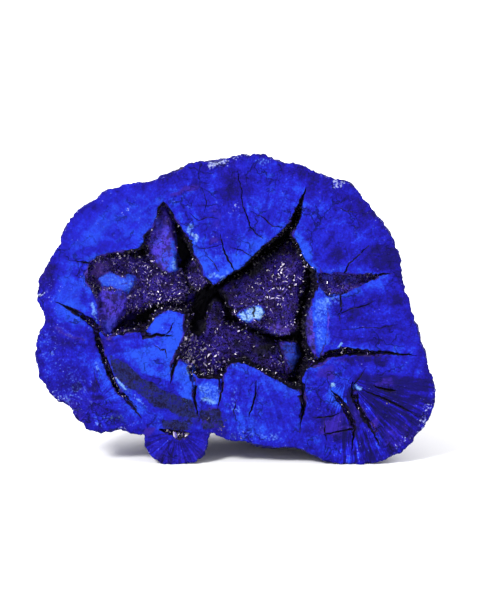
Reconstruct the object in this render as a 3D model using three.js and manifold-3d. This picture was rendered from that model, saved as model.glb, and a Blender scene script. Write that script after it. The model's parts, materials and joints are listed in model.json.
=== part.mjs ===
// One half of a split azurite nodule, standing on its rim with the broken face forward.
//
// The body is a rounded stone with a flat broken face. Septarian gaps open in that face: a star on
// the left, a kite on the right and a trough below them, all joined by a narrow passage. Blocks of
// stone stand in the gaps, below the face, and shrinkage cracks run from the gaps towards the rim.
// A small satellite nodule has grown onto the lower edge. All of it is one piece of mineral.
//
// Shapes are drawn on the broken face: u to the right, v up the face and w into the stone, in
// millimetres. The finished stone leans back, stands on z = 0 and faces -Y.

import * as THREE from "three";
import { mergeVertices } from "three/addons/utils/BufferGeometryUtils.js";
import Module from "manifold-3d";

const wasm = await Module();
wasm.setup();

// Driving dimensions.
const leanDegrees = 8;
const bodyDepth = 23;
const faceCentre = new THREE.Vector2(1, 21);
const backDrop = 4.2; // how far the back of the dome sits below the middle of the face
const restCut = 0.4; // worn off each point that the stone stands on
const segmentsAround = 96;
const ringsOnFace = 8;
const ringsOnDome = 18;
const domeFullness = 0.62; // under 1 keeps the dome's sides full before they round off
const domeSteepness = 1.15; // over 1 lets the sides leave the rim a little inwards
const poleCrowding = 1.6; // over 1 packs the rings closer towards the back
const rimFadesBy = 0.7; // the share of the way back where the rim's bumps are evened out
const knobHeight = 0.9;
const gapFloorScale = 0.86; // a gap's floor against its opening
const blockFoot = 12; // every block in a gap is rooted at this depth
const clearOfFace = 2; // how far a cutter stands out in front of the face
const satelliteFace = 0.25; // the satellite's own broken face lies this far behind the big one
const wellOutside = 40; // past any part of the stone

// The rim of the broken face, clockwise from the left-hand bump.
const rimPoints = [
  [-29.8, 28.0],
  [-28.0, 30.2],
  [-26.9, 31.6],
  [-26.2, 34.4],
  [-24.9, 36.7],
  [-22.0, 39.0],
  [-19.0, 41.2],
  [-16.0, 42.0],
  [-13.0, 42.3],
  [-10.0, 43.7],
  [-7.0, 45.0],
  [-3.0, 45.5],
  [0.0, 46.0],
  [3.0, 46.5],
  [6.0, 45.8],
  [9.0, 44.9],
  [12.0, 43.7],
  [15.0, 42.8],
  [17.5, 42.0],
  [19.0, 40.0],
  [21.0, 37.4],
  [23.0, 34.8],
  [24.3, 32.0],
  [25.0, 28.5],
  [26.1, 24.0],
  [27.3, 20.5],
  [28.2, 17.0],
  [29.5, 13.5],
  [30.0, 10.8],
  [29.5, 7.6],
  [28.1, 5.0],
  [26.0, 2.7],
  [23.0, 0.9],
  [19.0, 0.1],
  [15.0, 0.3],
  [11.6, 1.4],
  [9.0, 2.3],
  [6.0, 2.1],
  [2.5, 2.7],
  [-0.5, 3.5],
  [-4.5, 4.6],
  [-9.0, 4.4],
  [-14.0, 4.2],
  [-17.2, 5.1],
  [-19.5, 4.6],
  [-22.0, 4.9],
  [-24.0, 6.5],
  [-25.2, 8.9],
  [-27.5, 9.5],
  [-28.5, 11.2],
  [-29.7, 13.2],
  [-30.0, 16.8],
  [-29.7, 19.0],
  [-29.1, 20.6],
  [-29.2, 22.4],
  [-29.9, 25.6],
];

// The gaps: the outline of each opening in the face, and how deep it goes.
const gaps = {
  leftStar: {
    depth: 9,
    outline: [
      [-10.8, 39.7],
      [-9.6, 37.8],
      [-8.2, 35.8],
      [-7.0, 33.6],
      [-6.2, 31.6],
      [-5.2, 30.0],
      [-4.7, 28.2],
      [-3.2, 26.8],
      [-4.6, 24.6],
      [-7.0, 22.4],
      [-8.6, 22.7],
      [-10.3, 22.9],
      [-11.8, 22.1],
      [-12.7, 21.1],
      [-13.6, 19.7],
      [-16.0, 19.4],
      [-18.0, 19.0],
      [-19.6, 18.3],
      [-20.5, 19.6],
      [-20.8, 22.2],
      [-21.2, 24.4],
      [-21.7, 25.9],
      [-22.6, 27.0],
      [-22.9, 28.5],
      [-22.2, 30.1],
      [-21.0, 31.2],
      [-19.2, 31.7],
      [-16.2, 31.9],
      [-14.6, 32.4],
      [-13.8, 33.3],
      [-13.9, 34.3],
      [-12.6, 35.6],
      [-12.0, 37.2],
      [-11.7, 38.5],
    ],
  },
  rightKite: {
    depth: 10,
    outline: [
      [10.5, 41.0],
      [10.1, 39.2],
      [9.8, 37.4],
      [9.2, 35.9],
      [8.6, 34.4],
      [9.4, 33.0],
      [10.2, 31.4],
      [11.1, 29.9],
      [12.1, 28.9],
      [12.3, 26.6],
      [12.0, 24.9],
      [11.3, 23.4],
      [10.7, 21.6],
      [10.6, 19.4],
      [11.1, 17.5],
      [8.0, 17.0],
      [2.0, 19.0],
      [-2.0, 23.0],
      [-3.6, 26.6],
      [-1.2, 28.5],
      [1.0, 29.6],
      [2.4, 31.1],
      [4.0, 32.8],
      [6.0, 34.3],
      [8.0, 36.3],
      [9.3, 38.3],
    ],
  },
  lowerTrough: {
    depth: 10,
    outline: [
      [-3.0, 27.2],
      [0.0, 23.6],
      [5.0, 20.0],
      [10.8, 19.6],
      [11.2, 17.2],
      [12.0, 15.9],
      [11.4, 14.6],
      [10.3, 13.4],
      [9.9, 11.4],
      [9.4, 10.7],
      [7.5, 11.6],
      [5.5, 12.7],
      [4.0, 13.6],
      [2.0, 14.7],
      [0.4, 15.2],
      [-0.8, 14.9],
      [-1.6, 13.6],
      [-2.4, 12.4],
      [-4.2, 12.7],
      [-5.9, 12.7],
      [-7.2, 14.6],
      [-8.6, 15.4],
      [-9.2, 15.6],
      [-8.7, 17.8],
      [-8.1, 19.6],
      [-8.1, 21.4],
      [-7.4, 23.0],
      [-5.2, 25.4],
    ],
  },
  rightPocket: {
    depth: 2.2,
    outline: [
      [12.0, 28.6],
      [14.6, 28.8],
      [17.0, 28.6],
      [20.0, 28.4],
      [22.6, 28.1],
      [20.2, 27.5],
      [18.2, 26.6],
      [16.6, 25.6],
      [15.2, 25.0],
      [14.0, 24.9],
      [13.2, 25.5],
      [12.5, 26.5],
    ],
  },
};

// Blocks of stone that stand in the gaps, below the face. Each has an outline with rounded top
// edges, a depth below the face at its middle, and a slope: how much deeper it gets per millimetre
// along u and along v.
const blocks = {
  starFloor: {
    under: 3.6,
    slope: [0.1, -0.1],
    round: 1.2,
    outline: [
      [-22.4, 28.2],
      [-21.3, 30.6],
      [-18.4, 31.2],
      [-14.4, 31.4],
      [-11.2, 30.4],
      [-8.4, 28.8],
      [-7.3, 25.8],
      [-8.6, 23.8],
      [-12.4, 23.6],
      [-15.0, 22.4],
      [-17.2, 23.2],
      [-20.6, 25.8],
    ],
  },
  starIsland: {
    under: 1.7,
    slope: [0.12, 0.1],
    round: 0.5,
    outline: [
      [-21.2, 27.5],
      [-19.3, 28.9],
      [-16.8, 28.3],
      [-15.3, 27.7],
      [-16.2, 26.3],
      [-18.4, 26.0],
      [-20.4, 26.7],
    ],
  },
  starTongue: {
    under: 2.3,
    slope: [0.28, 0.0],
    round: 0.8,
    outline: [
      [-20.7, 26.8],
      [-17.0, 26.6],
      [-16.6, 24.2],
      [-17.3, 22.2],
      [-18.6, 20.2],
      [-19.4, 19.3],
      [-20.3, 20.8],
      [-20.6, 23.6],
    ],
  },
  armWedge: {
    under: 1.7,
    slope: [-0.2, 0.05],
    round: 0.8,
    outline: [
      [-11.1, 39.0],
      [-10.3, 37.2],
      [-9.7, 34.6],
      [-9.2, 32.0],
      [-9.0, 29.2],
      [-10.4, 28.4],
      [-12.2, 29.8],
      [-13.8, 31.6],
      [-14.1, 33.6],
      [-13.2, 35.4],
      [-12.3, 37.4],
    ],
  },
  kiteFloor: {
    under: 3.4,
    slope: [0.06, 0.08],
    round: 1.4,
    outline: [
      [-2.7, 26.2],
      [-0.8, 27.7],
      [2.4, 29.5],
      [5.0, 31.7],
      [7.8, 33.6],
      [9.4, 32.0],
      [10.7, 29.6],
      [10.7, 27.0],
      [9.6, 23.6],
      [9.3, 20.2],
      [7.0, 19.0],
      [3.6, 19.8],
      [0.8, 21.4],
      [-1.4, 23.6],
    ],
  },
  kiteCrest: {
    under: 1.9,
    slope: [0.1, 0.15],
    round: 0.4,
    outline: [
      [-0.3, 22.5],
      [1.4, 23.5],
      [3.1, 24.6],
      [4.5, 23.4],
      [3.9, 21.8],
      [2.4, 20.9],
      [0.8, 21.6],
    ],
  },
  troughFloor: {
    under: 5.6,
    slope: [0.12, 0.1],
    round: 1.3,
    outline: [
      [-8.5, 16.4],
      [-7.4, 18.8],
      [-6.0, 20.6],
      [-3.4, 21.8],
      [-0.4, 20.6],
      [3.0, 19.2],
      [6.4, 18.4],
      [9.2, 17.0],
      [9.6, 12.6],
      [7.4, 11.9],
      [3.8, 13.8],
      [0.4, 15.4],
      [-1.6, 14.6],
      [-2.6, 12.8],
      [-5.8, 13.0],
      [-7.2, 14.9],
    ],
  },
  troughStep: {
    under: 4.0,
    slope: [0.0, 0.1],
    round: 0.5,
    outline: [
      [6.6, 18.0],
      [9.0, 17.9],
      [9.5, 15.6],
      [9.2, 13.2],
      [7.8, 12.6],
      [7.1, 15.0],
    ],
  },
  cube: {
    under: 0.9,
    slope: [0.0, 0.08],
    round: 0.3,
    outline: [
      [-5.8, 12.5],
      [-3.2, 12.6],
      [-2.4, 11.4],
      [-2.9, 9.4],
      [-3.7, 8.6],
      [-5.1, 8.7],
      [-5.9, 10.4],
    ],
  },
};

// Sloping bites out of the edge of the face, each with its outline, depth at the middle and slope.
const chips = {
  kiteCheek: {
    under: 1.0,
    slope: [-0.42, -0.05],
    outline: [
      [9.8, 15.6],
      [9.8, 22.6],
      [10.8, 25.2],
      [12.2, 26.8],
      [13.5, 25.6],
      [13.9, 22.0],
      [13.7, 18.4],
      [12.6, 15.8],
    ],
  },
  kiteShoulder: {
    under: 0.5,
    slope: [-0.3, -0.25],
    outline: [
      [8.0, 34.6],
      [8.7, 31.6],
      [11.0, 28.4],
      [13.0, 28.6],
      [12.4, 30.6],
      [10.4, 33.6],
    ],
  },
};

// Cracks: a line of points on the face, each with its width, and the depth at the widest point.
const cracks = {
  leftOfStar: {
    depth: 3.2,
    line: [
      [-27.2, 24.6, 0.15],
      [-25.0, 23.3, 0.5],
      [-22.4, 21.6, 0.9],
      [-20.4, 19.8, 1.6],
    ],
  },
  downFromStar: {
    depth: 3.6,
    line: [
      [-21.4, 20.6, 0.7],
      [-20.7, 18.0, 1.0],
      [-19.6, 15.2, 0.9],
      [-18.8, 12.6, 0.9],
      [-17.4, 10.5, 0.7],
      [-15.4, 8.4, 0.5],
      [-13.8, 6.9, 0.15],
    ],
  },
  underPeninsula: {
    depth: 2.2,
    line: [
      [-14.4, 19.7, 1.2],
      [-12.4, 19.4, 0.5],
      [-10.2, 19.0, 0.15],
    ],
  },
  besidePeninsula: {
    depth: 2.6,
    line: [
      [-8.6, 16.4, 1.2],
      [-9.6, 14.6, 0.7],
      [-10.1, 12.6, 0.15],
    ],
  },
  leftOfCube: {
    depth: 3.2,
    line: [
      [-7.2, 14.6, 0.8],
      [-6.4, 12.2, 0.6],
      [-6.2, 9.0, 0.5],
      [-5.4, 6.2, 0.15],
    ],
  },
  rightOfCube: {
    depth: 2.4,
    line: [
      [-2.1, 13.6, 0.8],
      [-2.3, 11.2, 0.6],
      [-2.9, 8.9, 0.2],
    ],
  },
  rightBranch: {
    depth: 3.6,
    line: [
      [10.8, 15.0, 1.4],
      [12.6, 15.2, 1.1],
      [14.4, 16.4, 1.2],
      [16.4, 16.8, 1.3],
      [20.0, 16.5, 1.0],
      [23.0, 16.6, 0.6],
      [25.6, 16.5, 0.15],
    ],
  },
  downFromTrough: {
    depth: 3.4,
    line: [
      [9.8, 12.0, 0.9],
      [10.2, 9.6, 0.9],
      [10.1, 8.2, 0.9],
      [9.6, 6.8, 0.5],
      [9.5, 4.8, 0.15],
    ],
  },
  fanLeft: {
    depth: 2.8,
    line: [
      [14.0, 11.2, 0.2],
      [15.2, 9.9, 0.6],
      [16.6, 8.0, 0.8],
      [17.6, 5.8, 0.8],
      [17.7, 3.0, 0.15],
    ],
  },
  fanRight: {
    depth: 2.8,
    line: [
      [18.6, 13.4, 0.15],
      [17.8, 11.2, 0.6],
      [18.2, 9.0, 0.8],
      [19.6, 6.6, 0.8],
      [21.2, 4.6, 0.4],
      [22.6, 2.9, 0.15],
    ],
  },
  satellitePit: {
    depth: 2.0,
    line: [
      [-11.8, 4.9, 0.2],
      [-10.4, 4.6, 0.7],
      [-8.6, 4.2, 1.2],
      [-7.2, 4.2, 0.2],
    ],
  },
};

// The satellite nodule on the lower edge: centre u, v, w and its radii.
const satellite = { at: [-8.9, 3.55, 0.9], radii: [4.95, 4.0, 5.0] };
const lumpDetail = 22;
// Low swellings under the stone. With the satellite they are the three points that it stands on.
const swellings = [
  { u: -1.5, w: 16.5, alongU: 8, alongW: 7, swell: 3.0 },
  { u: 18.5, w: 3.5, alongU: 6, alongW: 4, swell: 0.7 },
];

const rim = new THREE.CatmullRomCurve3(
  rimPoints.map(([u, v]) => new THREE.Vector3(u, v, 0)),
  true,
  "centripetal",
);

// A closed three.js geometry as a solid.
function solidOf(geometry) {
  const bare = geometry.clone();
  bare.deleteAttribute("normal");
  bare.deleteAttribute("uv");
  const merged = mergeVertices(bare, 1e-4);
  const { array } = merged.getAttribute("position");
  const mesh = new wasm.Mesh({
    numProp: 3,
    vertProperties: array,
    triVerts: new Uint32Array(merged.index.array),
  });
  return new wasm.Manifold(mesh);
}

// A solid as a three.js geometry, with flat-shaded faces.
function geometryOf(solid) {
  const mesh = solid.getMesh();
  const geometry = new THREE.BufferGeometry();
  geometry.setAttribute("position", new THREE.BufferAttribute(mesh.vertProperties, 3));
  geometry.setIndex(new THREE.BufferAttribute(mesh.triVerts, 1));
  const flat = geometry.toNonIndexed();
  flat.computeVertexNormals();
  return flat;
}

// An angle brought into -PI to PI.
function wrap(angle) {
  return Math.atan2(Math.sin(angle), Math.cos(angle));
}

// Distance from the middle of the face to the rim, at each of the sphere's meridians.
function rimRadii() {
  const samples = rim.getSpacedPoints(1600).map((point) => {
    const u = point.x - faceCentre.x;
    const v = point.y - faceCentre.y;
    return { angle: Math.atan2(v, u), radius: Math.hypot(u, v) };
  });
  const radii = [];
  for (let i = 0; i < segmentsAround; i += 1) {
    const angle = wrap((i / segmentsAround) * 2 * Math.PI);
    const off = (sample) => Math.abs(wrap(sample.angle - angle));
    radii.push(samples.reduce((best, sample) => (off(sample) < off(best) ? sample : best)).radius);
  }
  return radii;
}

// The same radii with the rim's bumps and notches evened out, for the back of the dome.
function smoothRadii(radii) {
  const reach = Math.round(segmentsAround / 12);
  return radii.map((_, i) => {
    let sum = 0;
    for (let k = -reach; k <= reach; k += 1) {
      sum += radii[(i + k + segmentsAround) % segmentsAround];
    }
    return sum / (2 * reach + 1);
  });
}

// The broken face isn't quite flat: it dishes and swells by about half a millimetre.
function faceRelief(u, v) {
  return 0.35 * Math.sin(u / 7 + 1) * Math.cos(v / 6) + 0.2 * Math.sin(u / 3.1 - v / 3.7);
}

// Low knobs over the rounded back, as nodules of azurite have.
function knobs(u, v, w) {
  const large = Math.sin(u / 4.1 + 1.9) * Math.sin(v / 3.7 + w / 5.2) * Math.cos(w / 4.3 - u / 9);
  const small = Math.sin(u / 2.1 - w / 2.6) * Math.sin(v / 2.3 + 0.7) * Math.cos(w / 2.2 + v / 6);
  return knobHeight * (large + 0.4 * small);
}

// How far out the dome reaches at a share of the way round from the rim to its back: it stays full
// near the rim and then rounds off.
function domeReach(share) {
  return Math.max(0, Math.cos((share * Math.PI) / 2)) ** domeFullness;
}

// How far the underside swells down at a place, at some height under the dome's middle.
function swellingAt(u, w, below) {
  let down = 0;
  for (const { u: atU, w: atW, alongU, alongW, swell } of swellings) {
    down += swell * Math.exp(-(((u - atU) / alongU) ** 2) - ((w - atW) / alongW) ** 2);
  }
  return down * THREE.MathUtils.smoothstep(below, 3, 11);
}

// The stone before the gaps: a sphere whose front is pressed flat into the broken face and whose
// back swells into a dome.
function bodyGeometry() {
  const rings = ringsOnFace + ringsOnDome;
  const sphere = new THREE.SphereGeometry(1, segmentsAround, rings);
  const position = sphere.getAttribute("position");
  const sharp = rimRadii();
  const soft = smoothRadii(sharp);
  for (let i = 0; i < position.count; i += 1) {
    const ring = Math.floor(i / (segmentsAround + 1));
    const meridian = (i % (segmentsAround + 1)) % segmentsAround;
    const angle = (meridian / segmentsAround) * 2 * Math.PI;
    const across = Math.min(ring / ringsOnFace, 1);
    const back = 1 - (1 - Math.max(ring - ringsOnFace, 0) / ringsOnDome) ** poleCrowding;
    const rimShare = THREE.MathUtils.smoothstep(back, 0, rimFadesBy);
    const radius = THREE.MathUtils.lerp(sharp[meridian], soft[meridian], rimShare);
    const w = bodyDepth * Math.sin((back * Math.PI) / 2) ** domeSteepness;
    const centreV = faceCentre.y - backDrop * (w / bodyDepth) ** 3;
    const reach = radius * across * domeReach(back);
    const u = faceCentre.x + Math.cos(angle) * reach;
    const v = centreV + Math.sin(angle) * reach;
    const fade = THREE.MathUtils.smoothstep(back, 0, 0.3);
    const push = 1 + (fade * knobs(u, v, w)) / Math.max(reach, 6);
    position.setXYZ(
      i,
      faceCentre.x + (u - faceCentre.x) * push,
      centreV + (v - centreV) * push - swellingAt(u, w, centreV - v),
      w + faceRelief(u, v) * (1 - across ** 6) + fade * 0.5 * knobs(v, w, u),
    );
  }
  return sphere;
}

// A rounded lump: a sphere stretched to three radii.
function lump({ at, radii }) {
  const sphere = new THREE.SphereGeometry(1, lumpDetail, Math.round(lumpDetail * 0.7));
  return solidOf(sphere.scale(...radii).translate(...at));
}

// An outline pushed along w, from the face inwards, and where its middle is.
function prismOf(outline, options) {
  const shape = new THREE.Shape(outline.map(([u, v]) => new THREE.Vector2(u, v)));
  const prism = new THREE.ExtrudeGeometry(shape, options);
  prism.computeBoundingBox();
  return { prism, centre: prism.boundingBox.getCenter(new THREE.Vector3()) };
}

// The hollow behind an opening in the face, a little narrower at its floor.
function gapSolid({ outline, depth }) {
  const { prism, centre } = prismOf(outline, {
    depth: depth + clearOfFace,
    steps: 3,
    bevelEnabled: false,
  });
  const position = prism.getAttribute("position");
  for (let i = 0; i < position.count; i += 1) {
    const w = position.getZ(i) - clearOfFace;
    const scale = THREE.MathUtils.lerp(1, gapFloorScale, Math.max(w, 0) / depth);
    position.setXYZ(
      i,
      centre.x + (position.getX(i) - centre.x) * scale,
      centre.y + (position.getY(i) - centre.y) * scale,
      w,
    );
  }
  return solidOf(prism);
}

// How much deeper a sloping top lies at a place than at its middle.
function slopeAt([alongU, alongV], centre, u, v) {
  return alongU * (u - centre.x) + alongV * (v - centre.y);
}

// A block in a gap: rounded top edges, a sloping top, and a foot in the gap's floor.
function blockSolid({ outline, under, slope, round }) {
  const { prism, centre } = prismOf(outline, {
    depth: blockFoot - under,
    bevelThickness: round,
    bevelSize: round,
    bevelOffset: -round,
    bevelSegments: 2,
  });
  const position = prism.getAttribute("position");
  for (let i = 0; i < position.count; i += 1) {
    const deeper = slopeAt(slope, centre, position.getX(i), position.getY(i));
    position.setZ(i, position.getZ(i) + under + round + deeper);
  }
  return solidOf(prism);
}

// A bite out of the face's edge: all that is in front of a sloping plane, within an outline.
function chipSolid({ outline, under, slope }) {
  const { prism, centre } = prismOf(outline, { depth: 1, bevelEnabled: false });
  const position = prism.getAttribute("position");
  for (let i = 0; i < position.count; i += 1) {
    const deeper = slopeAt(slope, centre, position.getX(i), position.getY(i));
    position.setZ(i, position.getZ(i) > 0.5 ? Math.max(under + deeper, -1) : -clearOfFace);
  }
  return solidOf(prism);
}

// A crack: a wedge along a line, as deep as it is wide there and closed at the bottom.
function crackSolid({ depth, line }) {
  const widest = Math.max(...line.map(([, , width]) => width));
  const points = line.map(([u, v]) => new THREE.Vector2(u, v));
  const corners = [];
  line.forEach(([, , width], i) => {
    const before = points[Math.max(i - 1, 0)];
    const after = points[Math.min(i + 1, points.length - 1)];
    const along = after.clone().sub(before).normalize();
    const side = new THREE.Vector2(-along.y, along.x);
    const deep = 0.4 + (depth - 0.4) * Math.sqrt(width / widest);
    const half = (width / 2) * (1 + clearOfFace / deep);
    corners.push(
      [points[i].x + side.x * half, points[i].y + side.y * half, -clearOfFace],
      [points[i].x - side.x * half, points[i].y - side.y * half, -clearOfFace],
      [points[i].x, points[i].y, deep],
    );
  });
  const faces = [[0, 2, 1]];
  for (let i = 0; i + 3 < corners.length; i += 3) {
    for (let k = 0; k < 3; k += 1) {
      const a = i + k;
      const b = i + ((k + 1) % 3);
      faces.push([a, b, b + 3], [a, b + 3, a + 3]);
    }
  }
  const last = corners.length - 3;
  faces.push([last, last + 1, last + 2]);
  const geometry = new THREE.BufferGeometry();
  geometry.setAttribute("position", new THREE.Float32BufferAttribute(corners.flat(), 3));
  geometry.setIndex(faces.flat());
  const solid = solidOf(geometry);
  return solid.volume() > 0 ? solid : solidOf(flipped(geometry));
}

// A geometry with its faces turned over.
function flipped(geometry) {
  const turned = geometry.clone();
  const { array } = turned.index;
  for (let i = 0; i < array.length; i += 3) {
    [array[i + 1], array[i + 2]] = [array[i + 2], array[i + 1]];
  }
  return turned;
}

// A slab that takes away everything on one side of a plane: in front of the face, or below z = 0.
function slab(axis, from, to) {
  const size = [120, 120, 120];
  const centre = [0, 0, 0];
  size[axis] = to - from;
  centre[axis] = (from + to) / 2;
  return solidOf(new THREE.BoxGeometry(...size).translate(...centre));
}

// The whole stone on its broken face's axes.
function stone() {
  const inFrontOfFace = slab(2, -wellOutside, satelliteFace);
  let solid = solidOf(flipped(bodyGeometry()));
  solid = solid.add(lump(satellite).subtract(inFrontOfFace));
  for (const gap of Object.values(gaps)) solid = solid.subtract(gapSolid(gap));
  for (const block of Object.values(blocks)) solid = solid.add(blockSolid(block));
  for (const chip of Object.values(chips)) solid = solid.subtract(chipSolid(chip));
  for (const crack of Object.values(cracks)) solid = solid.subtract(crackSolid(crack));
  return outerShell(solid);
}

// The largest of a solid's separate surfaces: hollows that a block has closed off are filled.
function outerShell(solid) {
  const shells = solid.decompose();
  return shells.reduce((best, shell) => (shell.volume() > best.volume() ? shell : best));
}

// Stands the stone up: v becomes height and w becomes depth, leaning back, with its lowest points
// worn flat on z = 0 and the origin under the middle of its box.
function standing(solid) {
  const geometry = geometryOf(solid);
  geometry.rotateX(Math.PI / 2); // v to +Z, w to -Y
  geometry.scale(1, -1, 1); // w to +Y, which mirrors the faces
  geometry.rotateX(THREE.MathUtils.degToRad(-leanDegrees));
  geometry.computeBoundingBox();
  geometry.translate(0, 0, -geometry.boundingBox.min.z - restCut);
  const cut = solidOf(flipped(mergeVertices(geometry, 1e-4))).subtract(slab(2, -wellOutside, 0));
  const finished = geometryOf(cut);
  finished.computeBoundingBox();
  const { min, max } = finished.boundingBox;
  return finished.translate(-(min.x + max.x) / 2, -(min.y + max.y) / 2, 0);
}

const azuriteBlue = new THREE.MeshStandardMaterial({
  color: 0x2a35d0,
  roughness: 0.7,
  metalness: 0,
});

const nodule = new THREE.Mesh(standing(stone()), azuriteBlue);
nodule.name = "azurite_nodule";

const specimen = new THREE.Group();
specimen.add(nodule);

export default specimen;
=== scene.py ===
import json
import math

import bpy
import numpy as np
from mathutils import Matrix, Vector, kdtree, noise

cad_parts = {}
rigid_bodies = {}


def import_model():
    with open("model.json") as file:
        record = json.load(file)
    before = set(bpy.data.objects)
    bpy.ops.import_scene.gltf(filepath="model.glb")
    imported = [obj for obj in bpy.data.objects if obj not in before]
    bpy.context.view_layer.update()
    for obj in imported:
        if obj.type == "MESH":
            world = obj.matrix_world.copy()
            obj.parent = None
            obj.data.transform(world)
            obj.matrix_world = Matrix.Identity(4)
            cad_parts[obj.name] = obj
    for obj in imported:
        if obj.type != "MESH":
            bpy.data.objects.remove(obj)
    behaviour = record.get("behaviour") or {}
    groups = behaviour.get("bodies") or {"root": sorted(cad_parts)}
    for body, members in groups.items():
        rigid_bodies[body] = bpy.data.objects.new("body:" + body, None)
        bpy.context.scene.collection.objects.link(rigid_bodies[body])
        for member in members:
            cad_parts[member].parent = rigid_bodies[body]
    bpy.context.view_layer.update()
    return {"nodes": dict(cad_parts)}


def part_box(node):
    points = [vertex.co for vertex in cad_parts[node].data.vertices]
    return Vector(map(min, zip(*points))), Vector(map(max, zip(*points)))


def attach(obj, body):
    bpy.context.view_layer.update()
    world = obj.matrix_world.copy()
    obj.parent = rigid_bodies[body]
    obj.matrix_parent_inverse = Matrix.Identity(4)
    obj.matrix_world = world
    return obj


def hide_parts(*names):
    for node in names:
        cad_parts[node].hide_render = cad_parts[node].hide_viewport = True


# Half of a split azurite nodule: one stone with crystals grown over the walls of its gaps.
# It is shaped lying in its own face's axes: x across the face, z up it, y into the stone, with
# the foot of the face at the origin. At the end everything is stood up where the frame has it.

mm = 0.001

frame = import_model()
cadNode = frame["nodes"]["azurite_nodule"]
low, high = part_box("azurite_nodule")

face = {
    "lean": 8,  # degrees that the broken face leans back
    "top": 46.5,  # mm from the foot of the face to its highest point
    "swell": 0.15,  # mm that the face bulges in front of its own plane
}
lean = math.radians(face["lean"])
footZ = high.z - face["top"] * mm * math.cos(lean)
footY = low.y + face["swell"] * mm + footZ * math.tan(lean)
standUp = Matrix.Translation((0, footY, footZ)) @ Matrix.Rotation(-lean, 4, "X")
layDown = standUp.inverted()

view = {
    "elevation": 10,  # degrees above level
    "aim": (0.6, 0, 24.15),  # mm on the face
    "distance": 342,  # mm
    "lens": 135,
}


def makeCamera():
    data = bpy.data.cameras.new("camera")
    data.lens = view["lens"]
    data.clip_start = 0.01
    camera = bpy.data.objects.new("camera", data)
    bpy.context.collection.objects.link(camera)
    up = math.radians(view["elevation"])
    aim = standUp @ (Vector(view["aim"]) * mm)
    camera.location = aim + Vector((0, -math.cos(up), math.sin(up))) * view["distance"] * mm
    camera.rotation_euler = (math.pi / 2 - up, 0, 0)
    bpy.context.scene.camera = camera


room = {
    "white": 1.0,  # brightness of the walls
    "floor": 0.93,  # how pale it is
    "floorSize": 8,  # m
}
lamps = {  # towards the lamp, its spread in degrees and its strength
    "key": {"towards": (-0.55, -0.70, 0.80), "spread": 14, "strength": 3.3},
    "back": {"towards": (0.45, 0.80, 0.60), "spread": 40, "strength": 1.5},
}


def makeLamps():
    for name, lamp in lamps.items():
        data = bpy.data.lights.new(name, "SUN")
        data.angle = math.radians(lamp["spread"])
        data.energy = lamp["strength"]
        light = bpy.data.objects.new(name, data)
        bpy.context.collection.objects.link(light)
        light.rotation_euler = Vector(lamp["towards"]).to_track_quat("Z", "Y").to_euler()


def makeRoom():
    world = bpy.data.worlds.new("white room")
    bpy.context.scene.world = world
    world.use_nodes = True
    world.node_tree.nodes["Background"].inputs["Color"].default_value = (1, 1, 1, 1)
    world.node_tree.nodes["Background"].inputs["Strength"].default_value = room["white"]
    bpy.context.scene.view_settings.view_transform = "Standard"
    bpy.ops.mesh.primitive_plane_add(size=room["floorSize"])
    floor = bpy.context.object
    floor.name = "floor"
    paint = bpy.data.materials.new("pale floor")
    paint.use_nodes = True
    shader = paint.node_tree.nodes["Principled BSDF"]
    pale = room["floor"]
    shader.inputs["Base Color"].default_value = (pale, pale, pale, 1)
    shader.inputs["Roughness"].default_value = 0.9
    floor.data.materials.append(paint)


makeCamera()
makeLamps()
makeRoom()
print("camera, lamps and floor are in place")


class Signal:
    # a node's output that sums can be written with

    def __init__(self, graph, socket):
        self.graph = graph
        self.socket = socket

    def __add__(self, other):
        return self.graph.sum("ADD", self, other)

    def __radd__(self, other):
        return self.graph.sum("ADD", other, self)

    def __sub__(self, other):
        return self.graph.sum("SUBTRACT", self, other)

    def __rsub__(self, other):
        return self.graph.sum("SUBTRACT", other, self)

    def __mul__(self, other):
        return self.graph.sum("MULTIPLY", self, other)

    def __rmul__(self, other):
        return self.graph.sum("MULTIPLY", other, self)


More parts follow.
